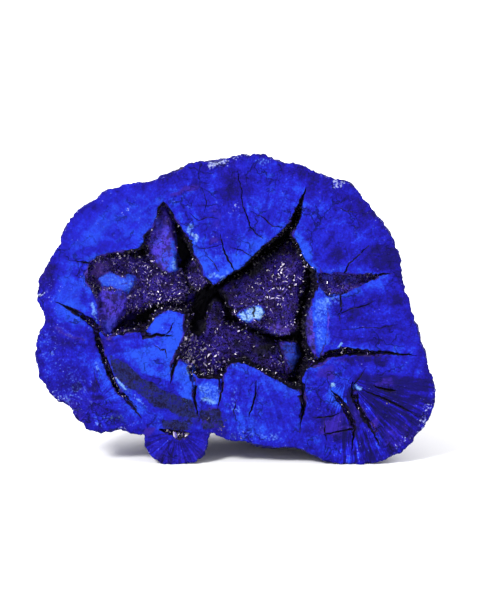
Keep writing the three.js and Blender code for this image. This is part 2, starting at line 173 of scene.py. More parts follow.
class Graph:
    # the nodes of one material or of one scatter

    def __init__(self, tree):
        self.tree = tree
        self.shader = tree.nodes.get("Principled BSDF")

    def node(self, kind, settings=None, inputs=None, output=0):
        # colours are given by their names
        made = self.tree.nodes.new(kind)
        for name, value in (settings or {}).items():
            if name == "stops":
                ramp = made.color_ramp.elements
                while len(ramp) < len(value):
                    ramp.new(0.5)
                for element, (position, tint) in zip(ramp, value):
                    element.position = position
                    element.color = (*colour[tint], 1)
            else:
                setattr(made, name, value)
        for name, value in (inputs or {}).items():
            if isinstance(value, Signal):
                self.tree.links.new(value.socket, made.inputs[name])
            elif made.inputs[name].type == "RGBA":
                made.inputs[name].default_value = (*colour[value], 1)
            else:
                made.inputs[name].default_value = value
        return Signal(self, made.outputs[output])

    def sum(self, operation, a, b):
        return self.node("ShaderNodeMath", {"operation": operation}, {0: a, 1: b})

    def mix(self, factor, a, b, how="MIX"):
        settings = {"data_type": "RGBA", "blend_type": how}
        return self.node("ShaderNodeMix", settings, {0: factor, 6: a, 7: b}, 2)

    def between(self, value, low, high):
        # 0 at low, 1 at high
        settings = {"interpolation_type": "SMOOTHSTEP"}
        return self.node("ShaderNodeMapRange", settings, {0: value, 1: low, 2: high})

    def grain(self, place, size, detail=2.0, sharp=0.5):
        # noise with spots of about that size in mm
        inputs = {"Vector": place, "Scale": 1 / size, "Detail": detail, "Roughness": sharp}
        return self.node("ShaderNodeTexNoise", None, inputs)

    def cells(self, place, scale, output=0):
        # lumps, as the distance from the middle of each, or with output 1 as a random colour for each
        return self.node("ShaderNodeTexVoronoi", None, {"Vector": place, "Scale": scale}, output)

    def veins(self, place, size, width):
        # broken hairlines round lumps of about that size in mm
        noisy = {"Vector": place, "Scale": 1.6 / size, "Detail": 3.0}
        bent = self.node("ShaderNodeTexNoise", None, noisy, 1)
        bent = self.node("ShaderNodeVectorMath", {"operation": "SCALE"}, {0: bent, "Scale": 1.3 * size})
        bent = self.node("ShaderNodeVectorMath", {"operation": "ADD"}, {0: place, 1: bent})
        settings = {"feature": "DISTANCE_TO_EDGE"}
        edge = self.node("ShaderNodeTexVoronoi", settings, {"Vector": bent, "Scale": 1 / size}, 0)
        shown = self.between(self.grain(place, size * 1.3), 0.5, 0.62)
        return self.between(width - edge, 0.0, width * 0.7) * shown

    def attribute(self, name):
        return self.node("ShaderNodeAttribute", {"attribute_name": name}, None, 2)

    def feed(self, name, signal):
        self.tree.links.new(signal.socket, self.shader.inputs[name])

    def bump(self, height, distance):
        # one unit of height is that many mm of relief
        self.feed("Normal", self.node("ShaderNodeBump", None, {"Height": height, "Distance": distance * mm}))


def startMaterial(name, roughness, specular, ior=1.73):
    # a material, its graph and its place in mm
    paint = bpy.data.materials.new(name)
    paint.use_nodes = True
    graph = Graph(paint.node_tree)
    sockets = graph.shader.inputs
    sockets["IOR"].default_value = ior
    sockets["Specular IOR Level"].default_value = specular
    sockets["Roughness"].default_value = roughness
    place = graph.node("ShaderNodeTexCoord", None, None, 3)
    inputs = {"Vector": place, "Scale": (1 / mm, 1 / mm, 1 / mm)}
    place = graph.node("ShaderNodeMapping", {"vector_type": "POINT"}, inputs)
    return paint, graph, place


colour = {  # the shares of red, green and blue light that are sent back
    "dusk": (0.003, 0.001, 0.095),
    "deep": (0.005, 0.002, 0.210),
    "royal": (0.007, 0.008, 0.355),
    "bright": (0.011, 0.050, 0.530),
    "pale": (0.110, 0.235, 0.570),
    "violet": (0.020, 0.008, 0.230),
    "lilac": (0.052, 0.029, 0.480),
    "mauve": (0.105, 0.050, 0.360),
    "plum": (0.014, 0.005, 0.065),
    "navy": (0.008, 0.011, 0.080),
    "murk": (0.004, 0.002, 0.026),
    "ice": (0.260, 0.420, 0.640),
    "dust": (0.230, 0.260, 0.480),
    "ochre": (0.200, 0.160, 0.060),
    "crust": (0.012, 0.016, 0.300),
    "rust": (0.070, 0.048, 0.030),
    # near black, for painted shade in the gaps and cracks, and for dark hairlines
    "ink": (0.0015, 0.001, 0.006),
    "night": (0.002, 0.001, 0.012),
    "wine": (0.014, 0.005, 0.090),
    "bloom": (0.052, 0.028, 0.320),
    "smoke": (0.012, 0.006, 0.020),
    # painted sheen, gleam and glints on crystal faces
    "sheen": (0.085, 0.060, 0.220),
    "gleam": (0.240, 0.190, 0.380),
    "flash": (0.800, 0.720, 0.880),
}


def faceMaterial():
    # the broken face: granular, brighter near the gaps with painted light on their lips, darker at the rim
    paint, graph, place = startMaterial("broken azurite", 0.75, 0.06)
    fine = graph.grain(place, 0.32, 2, 0.6)
    mottle = graph.grain(place, 1.1, 4, 0.65)
    cloud = graph.grain(place, 5.0, 3, 0.5)
    settings = {"attribute_name": "fibre"}
    fibre = graph.node("ShaderNodeAttribute", settings, None, "Vector")
    fibre = graph.grain(fibre, 1.0, 3.0, 0.65)
    streak = (fibre - 0.5) * graph.attribute("fibreWeight")
    uneven = (mottle - 0.5) * 0.95 + (cloud - 0.5) * 0.6 + (fine - 0.5) * 0.6
    tone = graph.attribute("tone") + uneven * (1 - graph.attribute("calm")) + streak * 1.7
    stops = [(0.08, "dusk"), (0.34, "deep"), (0.62, "royal"), (1.0, "bright")]
    base = graph.node("ShaderNodeValToRGB", {"stops": stops}, {"Fac": tone})
    violet = graph.attribute("violet") + (mottle - 0.5) * 0.8 + (fine - 0.5) * 0.6
    base = graph.mix(graph.between(violet, 0.25, 0.85), base, "violet")
    navy = graph.attribute("navy") * (1 + (mottle - 0.5) * 2.8 + (fine - 0.5) * 2.4)
    murk = graph.between(mottle + (fine - 0.5) * 0.7, 0.46, 0.64)
    murk = graph.mix(murk, "navy", "murk")
    base = graph.mix(graph.between(navy, 0.2, 0.75), base, murk)
    pale = graph.attribute("pale") + (fine - 0.5) * 1.2 + (mottle - 0.5) * 0.8
    base = graph.mix(graph.between(pale, 0.35, 1.1), base, "pale")
    base = graph.mix(graph.between(pale, 1.1, 1.7), base, "ice")
    speck = graph.cells(place, 2.2)
    dust = graph.between(0.2 - speck, 0.0, 0.08) * graph.between(mottle, 0.55, 0.7)
    dust = dust * 0.5 + graph.between(graph.attribute("dust") + (fine - 0.5) * 2.2 + streak, 0.5, 0.9)
    base = graph.mix(dust, base, "dust")
    ochre = graph.between(graph.attribute("ochre") + (fine - 0.5) * 2.4, 0.7, 1.0)
    base = graph.mix(ochre, base, "ochre")
    vein = graph.veins(place, 3.4, 0.035) * 0.8 + graph.veins(place, 1.5, 0.03) * 0.4
    shaded = (0.68 + fine * 0.64) * (1 - vein * 0.7) * (1 + streak * 1.8)
    base = graph.mix(1, base, shaded, "MULTIPLY")
    graph.feed("Base Color", base)
    graph.feed("Roughness", 0.62 + fine * 0.3)
    graph.bump(fine * 0.7 + mottle * 0.5 + streak * 0.6 - vein, 0.25)
    return paint


def wallMaterial():
    # the walls and floors of the gaps under their crystals
    paint, graph, place = startMaterial("gap wall", 0.5, 0.08)
    fine = graph.grain(place, 0.3, 3, 0.6)
    mottle = graph.grain(place, 1.2, 3, 0.6)
    bare = graph.attribute("bare")
    base = graph.mix(graph.between(mottle, 0.35, 0.65), "plum", "violet")
    # painted shade: near black where the walls are steep, deep or unlit
    base = graph.mix(graph.between(graph.attribute("open"), 0.55, 0.15), base, "ink")
    lit = graph.mix(graph.between(fine * 0.8 + mottle, 0.75, 1.05), "violet", "lilac")
    lit = graph.mix(graph.between(mottle - fine * 0.2, 0.40, 0.30) * 0.7, lit, "plum")
    lit = graph.mix(graph.between(graph.grain(place, 2.4, 3, 0.6), 0.5, 0.65) * 0.4, lit, "bright")
    base = graph.mix(graph.between(bare + (mottle - 0.5) * 0.6, 0.25, 0.7), base, lit)
    haze = graph.attribute("violet") * (0.4 + mottle * 0.8 + (fine - 0.5) * 1.2)
    base = graph.mix(graph.between(haze, 0.1, 0.9), base, "mauve")
    pale = graph.attribute("pale") * (1 + (fine - 0.5) * 2.6 + (mottle - 0.5) * 1.4)
    base = graph.mix(graph.between(pale, 0.15, 0.5), base, "bright")
    base = graph.mix(graph.between(pale, 0.5, 1.1), base, "pale")
    base = graph.mix(graph.between(pale, 1.0, 1.6), base, "ice")
    base = graph.mix(graph.veins(place, 1.6, 0.06) * 0.8, base, "ink")
    # painted shade where the patches put it
    base = graph.mix(graph.between(graph.attribute("dim"), 0.2, 1.4), base, "ink")
    graph.feed("Base Color", base)
    graph.feed("Roughness", 0.35 + fine * 0.4)
    graph.bump(fine + mottle * 0.5, 0.2)
    return paint


def rindMaterial():
    # the outside: rough violet-blue crust with dust, painted shade in its hollows and creases, and a little
    # iron stain in its hollows
    paint, graph, place = startMaterial("azurite rind", 0.8, 0.08)
    fine = graph.grain(place, 0.4, 3, 0.65)
    mottle = graph.grain(place, 2.2, 4, 0.6)
    cloud = graph.grain(place, 8.0, 3, 0.55)
    hollow = graph.attribute("hollow")
    bent = graph.node("ShaderNodeTexNoise", None, {"Vector": place, "Scale": 0.8}, 1)
    bent = graph.node("ShaderNodeVectorMath", {"operation": "ADD"}, {0: place, 1: bent})
    grape = graph.cells(bent, 1.25)
    tint = graph.cells(bent, 1.25, 1)
    lump = graph.cells(bent, 0.42)
    # painted shade: darker in the crust's hollows and creases
    creaseShade = graph.between(grape * 0.6 + lump * 0.6 + (fine - 0.5) * 0.5, 0.42, 0.75)
    tone = mottle * 0.6 + fine * 0.5 + cloud * 0.4 - hollow * 0.5 + (tint - 0.5) * 0.3
    base = graph.mix(graph.between(tone, 0.3, 0.8), "deep", "crust")
    violet = graph.between(cloud + (mottle - 0.5) * 0.6 + (fine - 0.5) * 0.5, 0.46, 0.60)
    base = graph.mix(violet * 0.6, base, "violet")
    navy = graph.between(graph.grain(place, 4.5, 5, 0.7) + hollow * 0.2 + (fine - 0.5) * 0.3, 0.60, 0.70)
    base = graph.mix(navy * 0.75, base, "navy")
    base = graph.mix(creaseShade * 0.7, base, "dusk")
    dust = graph.between(fine * 1.2 + mottle * 0.6 - creaseShade * 0.2 + (cloud - 0.5) * 0.8, 0.92, 1.15)
    base = graph.mix(dust * 0.22, base, "dust")
    stain = graph.grain(place, 5.0, 6, 0.75) + hollow * 0.15 + creaseShade * 0.10 + (fine - 0.5) * 0.4
    base = graph.mix(graph.between(stain, 0.70, 0.84) * 0.6, base, "rust")
    graph.feed("Base Color", base)
    graph.feed("Roughness", 0.55 + fine * 0.4)
    graph.bump(fine + mottle * 0.5 - grape * 1.0 - lump * 1.6, 0.4)
    return paint


def crackMaterial():
    # painted shade: the walls of the cracks near black and plum
    paint, graph, place = startMaterial("crack wall", 0.6, 0.08)
    fine = graph.grain(place, 0.3, 3, 0.6)
    base = graph.mix(graph.between(fine, 0.4, 0.7), "ink", "plum")
    graph.feed("Base Color", base)
    graph.bump(fine, 0.15)
    return paint


stone = {
    "voxel": 0.21,  # mm
    "front": (0.72, 0.95),  # the least forward look of the broken face's polygons, and the most mm deep
    "wander": ((2.6, 0.14), (0.9, 0.14), (0.45, 0.10)),  # mm across and mm sideways
    "hackle": ((5.0, 0.22), (1.6, 0.12), (0.6, 0.07)),  # mm across and mm of relief on the face
    "lining": ((3.0, 0.45), (1.0, 0.25)),  # the same in the gaps
    "crust": ((4.0, 0.20), (1.4, 0.12), (0.5, 0.12)),  # the same on the outside
    "knobs": ((3.2, 0.75), (1.1, 0.35)),  # mm across and mm high
    "ledges": (3.4, 2.2, 0.10),  # mm across, steps up and down, and mm of relief on the face
    "fibre": 0.09,  # mm of relief
    "belly": (8, 0.37),  # mm up, and the share of the way there that the underside is lifted
    "shelves": (  # a patch of a gap, and the mm deep that its floor is raised to
        ((-5.8, 28.2, 1.8, 2.6, 20, 1.6), 4.2),
        ((-3.1, 22.2, 1.35, 2.8, 0, 1.5), 5.4),
    ),
    "shafts": (((-4.9, 24.8, 3.2, 1.0, 49, 1.5), 9.5),),  # the same, but sunk
}


def mode(name):
    bpy.ops.object.mode_set(mode=name)


def pickOnly(thing):
    bpy.ops.object.select_all(action="DESELECT")
    thing.select_set(True)
    bpy.context.view_layer.objects.active = thing


def applyModifier(thing, kind, settings):
    pickOnly(thing)
    modifier = thing.modifiers.new(kind.lower(), kind)
    for name, value in settings.items():
        setattr(modifier, name, value)
    bpy.ops.object.modifier_apply(modifier=modifier.name)


def startStone():
    # a merged copy of the solid, in the face's axes, with an even skin of small faces
    body = bpy.data.objects.new("nodule", cadNode.data.copy())
    bpy.context.collection.objects.link(body)
    body.data.materials.clear()
    body.data.transform(layDown)
    pickOnly(body)
    mode("EDIT")
    bpy.ops.mesh.select_all(action="SELECT")
    bpy.ops.mesh.remove_doubles(threshold=0.00001)
    mode("OBJECT")
    applyModifier(body, "REMESH", {"mode": "VOXEL", "voxel_size": stone["voxel"] * mm})
    return body


slots = {"face": 0, "wall": 1, "rind": 2, "crack": 3}


def assign(body, slot):
    # to the faces selected in edit mode
    body.active_material_index = slots[slot]
    bpy.ops.object.material_slot_assign()


def sortFaces(body):
    # the flat front first, the rest as gaps, and of those all that the backmost face is joined to as rind
    for material in (faceMaterial(), wallMaterial(), rindMaterial(), crackMaterial()):
        body.data.materials.append(material)
    polygons = body.data.polygons
    backmost = max(range(len(polygons)), key=lambda i: polygons[i].center.y)
    square, deep = stone["front"]
    for polygon in polygons:
        polygon.select = polygon.normal.y < -square and polygon.center.y < deep * mm
    pickOnly(body)
    bpy.context.tool_settings.mesh_select_mode = (False, False, True)
    mode("EDIT")
    assign(body, "face")
    bpy.ops.mesh.select_all(action="INVERT")
    assign(body, "wall")
    bpy.ops.mesh.hide(unselected=True)
    bpy.ops.mesh.select_all(action="DESELECT")
    mode("OBJECT")
    body.data.polygons[backmost].select = True
    mode("EDIT")
    bpy.ops.mesh.select_linked()
    assign(body, "rind")
    bpy.ops.mesh.reveal(select=False)
    bpy.ops.mesh.select_all(action="DESELECT")
    mode("OBJECT")


def read(items, key, kind=float, width=1):
    # one property of every item, as one row of numbers
    flat = np.empty(len(items) * width, kind)
    items.foreach_get(key, flat)
    return flat


def points(body):
    return read(body.data.vertices, "co", width=3).reshape(-1, 3) / mm


def normals(body):
    return read(body.data.vertex_normals, "vector", width=3).reshape(-1, 3)


def setPoints(body, places):
    body.data.vertices.foreach_set("co", (places * mm).ravel())
    body.data.update()


def ofSlot(body, slot):
    # which points belong to faces of that slot
    indices = read(body.data.polygons, "material_index", int)
    corners = read(body.data.loops, "vertex_index", int)
    sizes = read(body.data.polygons, "loop_total", int)
    mask = np.zeros(len(body.data.vertices), bool)
    mask[corners[np.repeat(indices == slots[slot], sizes)]] = True
    return mask


def waves(places, size, seed, depth=2):
    # smooth noise from about -1 to 1, with waves of that many mm
    shift = Vector((seed * 17.3, seed * 5.1, seed * 9.7))
    values = [noise.fractal(Vector(p) / size + shift, 1.0, 2.0, depth) for p in places]
    return np.array(values)


def smooth(value, low, high):
    share = np.clip((value - low) / (high - low), 0, 1)
    return share * share * (3 - 2 * share)


# Where the mineral has grown out from a centre, fine fibres run away from it.
fans = {
    "whole": {"at": (1, 21), "reach": 60.0, "top": 99, "left": -99, "fibre": 34, "weight": 0.32},
    "lobe": {"at": (16.6, 12.6), "reach": 15.0, "top": 13.2, "left": 12.8, "fibre": 34, "weight": 1.5},
    "satellite": {"at": (-8.9, 4.6), "reach": 6.5, "top": 4.8, "left": -99, "fibre": 20, "weight": 0.9},
    "leftLobe": {"at": (-21.5, 8.8), "reach": 5.0, "top": 99, "left": -99, "fibre": 14, "weight": 0.6},
}


def fibres(places):
    # a place along and round the nearest fan, and how strongly its fibres show
    turned = np.zeros((len(places), 3))
    weight = np.zeros(len(places))
    for shift, fan in enumerate(fans.values()):
        across = places[:, 0] - fan["at"][0]
        up = places[:, 2] - fan["at"][1]
        radius = np.hypot(across, up) + 0.001
        inside = (radius < fan["reach"]) & (places[:, 2] < fan["top"]) & (places[:, 0] > fan["left"])
        polar = np.column_stack((across / radius, radius * 0.012, up / radius)) * fan["fibre"] / 2
        turned[inside] = polar[inside] + shift * 40
        fade = smooth(radius, 0.2, 1.5) * smooth(fan["reach"] - radius, 0, fan["reach"] * 0.25)
        fade *= smooth(fan["top"] - places[:, 2], 0, 1.5) * smooth(places[:, 0] - fan["left"], 0, 3.5)
        weight[inside] = np.maximum(fade * fan["weight"], weight * 0.6)[inside]
    return turned, weight


def shapeStone(body):
    # wander the edges, then roughen each kind of surface along its normals
    places = points(body)
    for seed, (size, far) in enumerate(stone["wander"]):
        places[:, 0] += waves(places, size, 3 + seed, 1) * far
        places[:, 2] += waves(places, size, 13 + seed, 1) * far
    setPoints(body, places)
    along = normals(body)
    front = ofSlot(body, "face")
    rind = ofSlot(body, "rind")
    wall = ofSlot(body, "wall") & ~front
    push = np.zeros(len(places))
    for mask, key in ((front & ~rind, "hackle"), (wall, "lining"), (rind, "crust")):
        for seed, (size, height) in enumerate(stone[key]):
            push[mask] += waves(places[mask], size, 20 + seed) * height
    turned, weight = fibres(places[front])
    push[front] += waves(turned, 1.0, 33) * weight * stone["fibre"]
    size, steps, height = stone["ledges"]
    ledges = waves(places[front], size, 31) * steps
    push[front] += (np.round(ledges) - ledges) * height
    hollow = np.zeros(len(places))
    for size, height in stone["knobs"]:
        away = np.array([noise.voronoi(Vector(p) / size)[0][0] for p in places[rind]])
        push[rind] += (0.35 - away * away) * height
        hollow[rind] += smooth(away, 0.3, 0.8) / 2
    x, y, z = places.T
    belly = smooth(x, -9, -5) * (1 - smooth(x, -1.5, 3.5)) * smooth(y, 0.3, 3)
    height, lift = stone["belly"]
    places[:, 2] += belly * rind * np.maximum(height - z, 0) * lift
    for patch, depth in stone["shelves"]:
        share = np.minimum(patchAmount(places, patch), 1) * (wall & ~rind)
        places[:, 1] -= share * np.maximum(places[:, 1] - depth, 0)
    for patch, depth in stone["shafts"]:
        share = np.minimum(patchAmount(places, patch), 1) * (wall & ~rind) * smooth(places[:, 1], 1.5, 3)
        places[:, 1] += share * np.maximum(depth - places[:, 1], 0)
    setPoints(body, places + along * push[:, None])
    writeAttribute(body, "hollow", hollow)


def writeAttribute(body, name, values):
    attribute = body.data.attributes.get(name) or body.data.attributes.new(name, "FLOAT", "POINT")
    attribute.data.foreach_set("value", values.astype(np.float32))


# Each crack's depth in mm, then mm across the face, mm up it and mm wide at each of its turns.
cracks = {
    "topMiddle": (1.6, [(0.2, 44, 0.08), (0.8, 41, 0.2), (1, 39, 0.22), (1.7, 37, 0.3), (2.2, 35.5, 0.25),
                        (3, 34.5, 0.15), (4.1, 33.8, 0.05)]),
    "topRight": (1, [(2, 38, 0.06), (4, 37, 0.16), (5.5, 35.7, 0.2), (7, 35.5, 0.1)]),
    "middle": (1.6, [(-2.4, 34.5, 0.08), (-2, 32.5, 0.25), (-1.2, 30.5, 0.3), (0, 28.8, 0.12)]),
    "middleRight": (0.9, [(-1, 32.5, 0.06), (1, 32, 0.16), (2.5, 31, 0.08)]),
    "middleLeft": (0.8, [(-6.6, 33, 0.06), (-5.2, 32.2, 0.14), (-3.8, 32.4, 0.14), (-2.1, 33, 0.06)]),
    "middleLow": (0.8, [(-4.6, 31.2, 0.05), (-3.4, 30.2, 0.13), (-2.6, 28.8, 0.05)]),
    "topLeft": (0.8, [(-7, 37.6, 0.05), (-5.6, 36.5, 0.14), (-4.2, 37, 0.14), (-2.6, 36.8, 0.05)]),
    "topFine": (0.8, [(-5.2, 41.5, 0.05), (-4.4, 39.4, 0.12), (-4.8, 37.6, 0.05)]),
    "leftNotch": (0.9, [(-24.3, 30.6, 0.05), (-23.3, 30.3, 0.14), (-22, 30.1, 0.2)]),
    "rightCrease": (0.9, [(16.3, 28.3, 0.18), (17, 30, 0.18), (18.5, 31.3, 0.14), (20, 32.8, 0.06)]),
    "rightTop": (0.7, [(15.2, 38.6, 0.05), (16.5, 38, 0.15), (18.4, 37.6, 0.05)]),
    "rightUpper": (0.9, [(15.4, 22.3, 0.08), (17, 23.1, 0.2), (19, 23.6, 0.2), (21, 24.4, 0.06)]),
    "rightMiddle": (0.7, [(16, 20, 0.05), (19, 20.3, 0.14), (22, 20.4, 0.14), (24.5, 20.9, 0.05)]),
    "rightDown": (0.7, [(16, 27.4, 0.05), (15.7, 25.4, 0.16), (15.9, 23.4, 0.16), (15.6, 21.4, 0.05)]),
    "bottomBlock": (1.2, [(3.1, 12.5, 0.06), (2.9, 10, 0.2), (2.3, 8, 0.24), (1.9, 6.8, 0.06)]),
    "bottomFine": (0.7, [(0.2, 9.6, 0.05), (-0.4, 7.8, 0.12), (0.1, 6.2, 0.05)]),
    "fanLeft": (1.7, [(14.3, 10.9, 0.1), (15.4, 9.8, 0.4), (16.4, 8.7, 0.6), (17.5, 6.3, 0.75),
                      (17.9, 4.9, 0.4), (17.6, 3.2, 0.2), (17.5, 1.7, 0.06)]),
    "fanRight": (1.8, [(17.6, 12.2, 0.2), (17.5, 10, 0.5), (18.3, 8.8, 0.6), (19.5, 6.5, 0.6),
                       (20.6, 4.8, 0.4), (21.8, 2.4, 0.08)]),
    "fanUp": (0.9, [(17.6, 11.6, 0.2), (18.7, 12.8, 0.22), (19.6, 14.3, 0.08)]),
    "lobeLong": (0.9, [(19, 10.9, 0.08), (20.6, 10.3, 0.2), (22, 9.8, 0.28), (24.8, 8.5, 0.3),
                       (26.9, 7.2, 0.12), (27.6, 6.6, 0.04)]),
    "lobeSlot": (1.6, [(20.7, 11.6, 0.1), (22.2, 11.1, 0.5), (23.2, 10.9, 0.45), (24.1, 10.8, 0.1)]),
    "lobeArc": (0.8, [(11.4, 6.8, 0.05), (12.8, 6.8, 0.2), (14.3, 6.8, 0.2), (15.7, 7.6, 0.05)]),
    "lobeStep": (0.9, [(13.2, 4.2, 0.1), (15.4, 4.6, 0.25), (17.6, 5.1, 0.25)]),
    "lobeDown": (0.7, [(13.3, 6.4, 0.05), (13.4, 4.8, 0.16), (13.7, 3.2, 0.05)]),
    "peninsulaLow": (0.8, [(-12.4, 17.8, 0.05), (-11.4, 17, 0.16), (-10.7, 17.1, 0.16),
                           (-10.3, 15.8, 0.05)]),
    "peninsulaTop": (0.8, [(-10.9, 18.9, 0.06), (-9.9, 20, 0.16), (-9.3, 21.2, 0.05)]),
    "pit": (1.9, [(-11.6, 5, 0.2), (-10.4, 4.7, 0.8), (-9.3, 4.3, 1.2), (-8.5, 4, 1.6), (-7.6, 4.3, 0.8),
                  (-7, 4.5, 0.1)]),
    "starTip": (1.3, [(-27.3, 24.3, 0.05), (-26, 23.7, 0.25), (-24.6, 22.9, 0.6), (-23.6, 22.2, 0.6)]),
    "starFoot": (1.3, [(-16.6, 9.8, 0.6), (-15.4, 8.2, 0.3), (-14.2, 6.5, 0.05)]),
    "kiteTip": (1.9, [(8.6, 36.4, 1.2), (9.4, 38.4, 0.8), (10.1, 40.2, 0.4), (10.6, 41.6, 0.06)]),
    "pocketTip": (0.9, [(20.2, 28.1, 0.7), (21.8, 28.4, 0.35), (23.6, 28.6, 0.05)]),
    "branchTip": (1.3, [(21.4, 16.7, 0.7), (24.4, 16.4, 0.4), (27.4, 16.2, 0.05)]),
    "branch": (1.5, [(15.6, 17.1, 0.9), (18.4, 16.7, 1), (21, 16.5, 0.75), (22.4, 16.5, 0.3)]),
    "underPeninsula": (1.3, [(-14.2, 19, 0.9), (-11.6, 19.3, 0.4), (-9.4, 19.1, 0.05)]),
    "trough": (1.6, [(-8.4, 17.4, 0.8), (-9.1, 15.4, 0.6), (-9.7, 13.4, 0.35), (-9.9, 11.9, 0.05)]),
    "cubeLeft": (1.5, [(-6, 11.6, 0.5), (-6.3, 10, 0.45), (-6, 8.2, 0.4), (-5.4, 6.2, 0.05)]),
    "cubeRight": (1.4, [(-2, 12.2, 0.4), (-2.2, 10.4, 0.35), (-2.8, 8, 0.06)]),
    "troughEnd": (1.5, [(9.8, 10.2, 0.8), (10.3, 8.4, 0.6), (9.9, 6.6, 0.35), (9.6, 4.4, 0.05)]),
    "pocketEdge": (1.3, [(11.9, 29.3, 0.3), (12, 28, 0.7), (12.1, 26.8, 0.7), (12.3, 25.8, 0.1)]),
    "leftLow": (0.8, [(-21.6, 14.6, 0.05), (-21.2, 12.6, 0.16), (-20.2, 10.6, 0.05)]),
}

crackEdge = {
    "step": 0.35,  # mm between its corners
    "proud": 0.9,  # mm that a cutter stands in front of the face
    "jag": 0.22,  # mm that its line strays
    "ragged": 0.7,  # how much its width changes
    "full": 0.3,  # mm wide where it reaches its whole depth
}


def crackCutter(name, deepest, line, seed):
    # a thin jagged wedge, widest on the face
    proud = crackEdge["proud"]
    samples = []
    for (x0, z0, w0), (x1, z1, w1) in zip(line, line[1:]):
        count = max(2, round(math.hypot(x1 - x0, z1 - z0) / crackEdge["step"]))
        for i in range(count):
            share = i / count
            samples.append((x0 + (x1 - x0) * share, z0 + (z1 - z0) * share, w0 + (w1 - w0) * share))
    samples.append(line[-1])
    corners = []
    for i, (x, z, width) in enumerate(samples):
        before, after = samples[max(i - 1, 0)], samples[min(i + 1, len(samples) - 1)]
        along = Vector((after[0] - before[0], after[1] - before[1])).normalized()
        side = Vector((-along.y, along.x))
        jag = noise.noise(Vector((x * 1.7, z * 1.7, seed))) * crackEdge["jag"]
        ragged = 1 + crackEdge["ragged"] * noise.noise(Vector((x * 3.1, z * 3.1, seed + 5)))
        depth = deepest * (0.35 + 0.65 * min(1, width / crackEdge["full"]))
        half = width * ragged * (depth + proud) / depth / 2
        middle = Vector((x, z)) + side * jag
        left, right = middle + side * half, middle - side * half
        corners += [(left.x, -proud, left.y), (right.x, -proud, right.y), (middle.x, depth, middle.y)]
    faces = [(0, 2, 1)]
    for i in range(0, len(corners) - 3, 3):
        for a, b in ((0, 1), (1, 2), (2, 0)):
            faces.append((i + a, i + b, i + b + 3, i + a + 3))
    last = len(corners) - 3
    faces.append((last, last + 1, last + 2))
    mesh = bpy.data.meshes.new(name)
    mesh.from_pydata([Vector(c) * mm for c in corners], [], faces)
    cutter = bpy.data.objects.new(name, mesh)
    bpy.context.collection.objects.link(cutter)
    return cutter


def cutCracks(body):
    cutters = [crackCutter(name, *crack, seed) for seed, (name, crack) in enumerate(cracks.items())]
    bpy.ops.object.select_all(action="DESELECT")
    for cutter in cutters:
        cutter.select_set(True)
    bpy.context.view_layer.objects.active = cutters[0]
    bpy.ops.object.join()
    cutter = cutters[0]
    for material in body.data.materials:
        cutter.data.materials.append(material)
    for polygon in cutter.data.polygons:
        polygon.material_index = slots["crack"]
    mode("EDIT")
    bpy.ops.mesh.select_all(action="SELECT")
    bpy.ops.mesh.normals_make_consistent(inside=False)
    mode("OBJECT")
    before = len(body.data.polygons)
    settings = {"operation": "DIFFERENCE", "object": cutter, "solver": "MANIFOLD"}
    applyModifier(body, "BOOLEAN", settings)
    print("cracks cut:", before, "faces before,", len(body.data.polygons), "after")
    bpy.data.objects.remove(cutter)


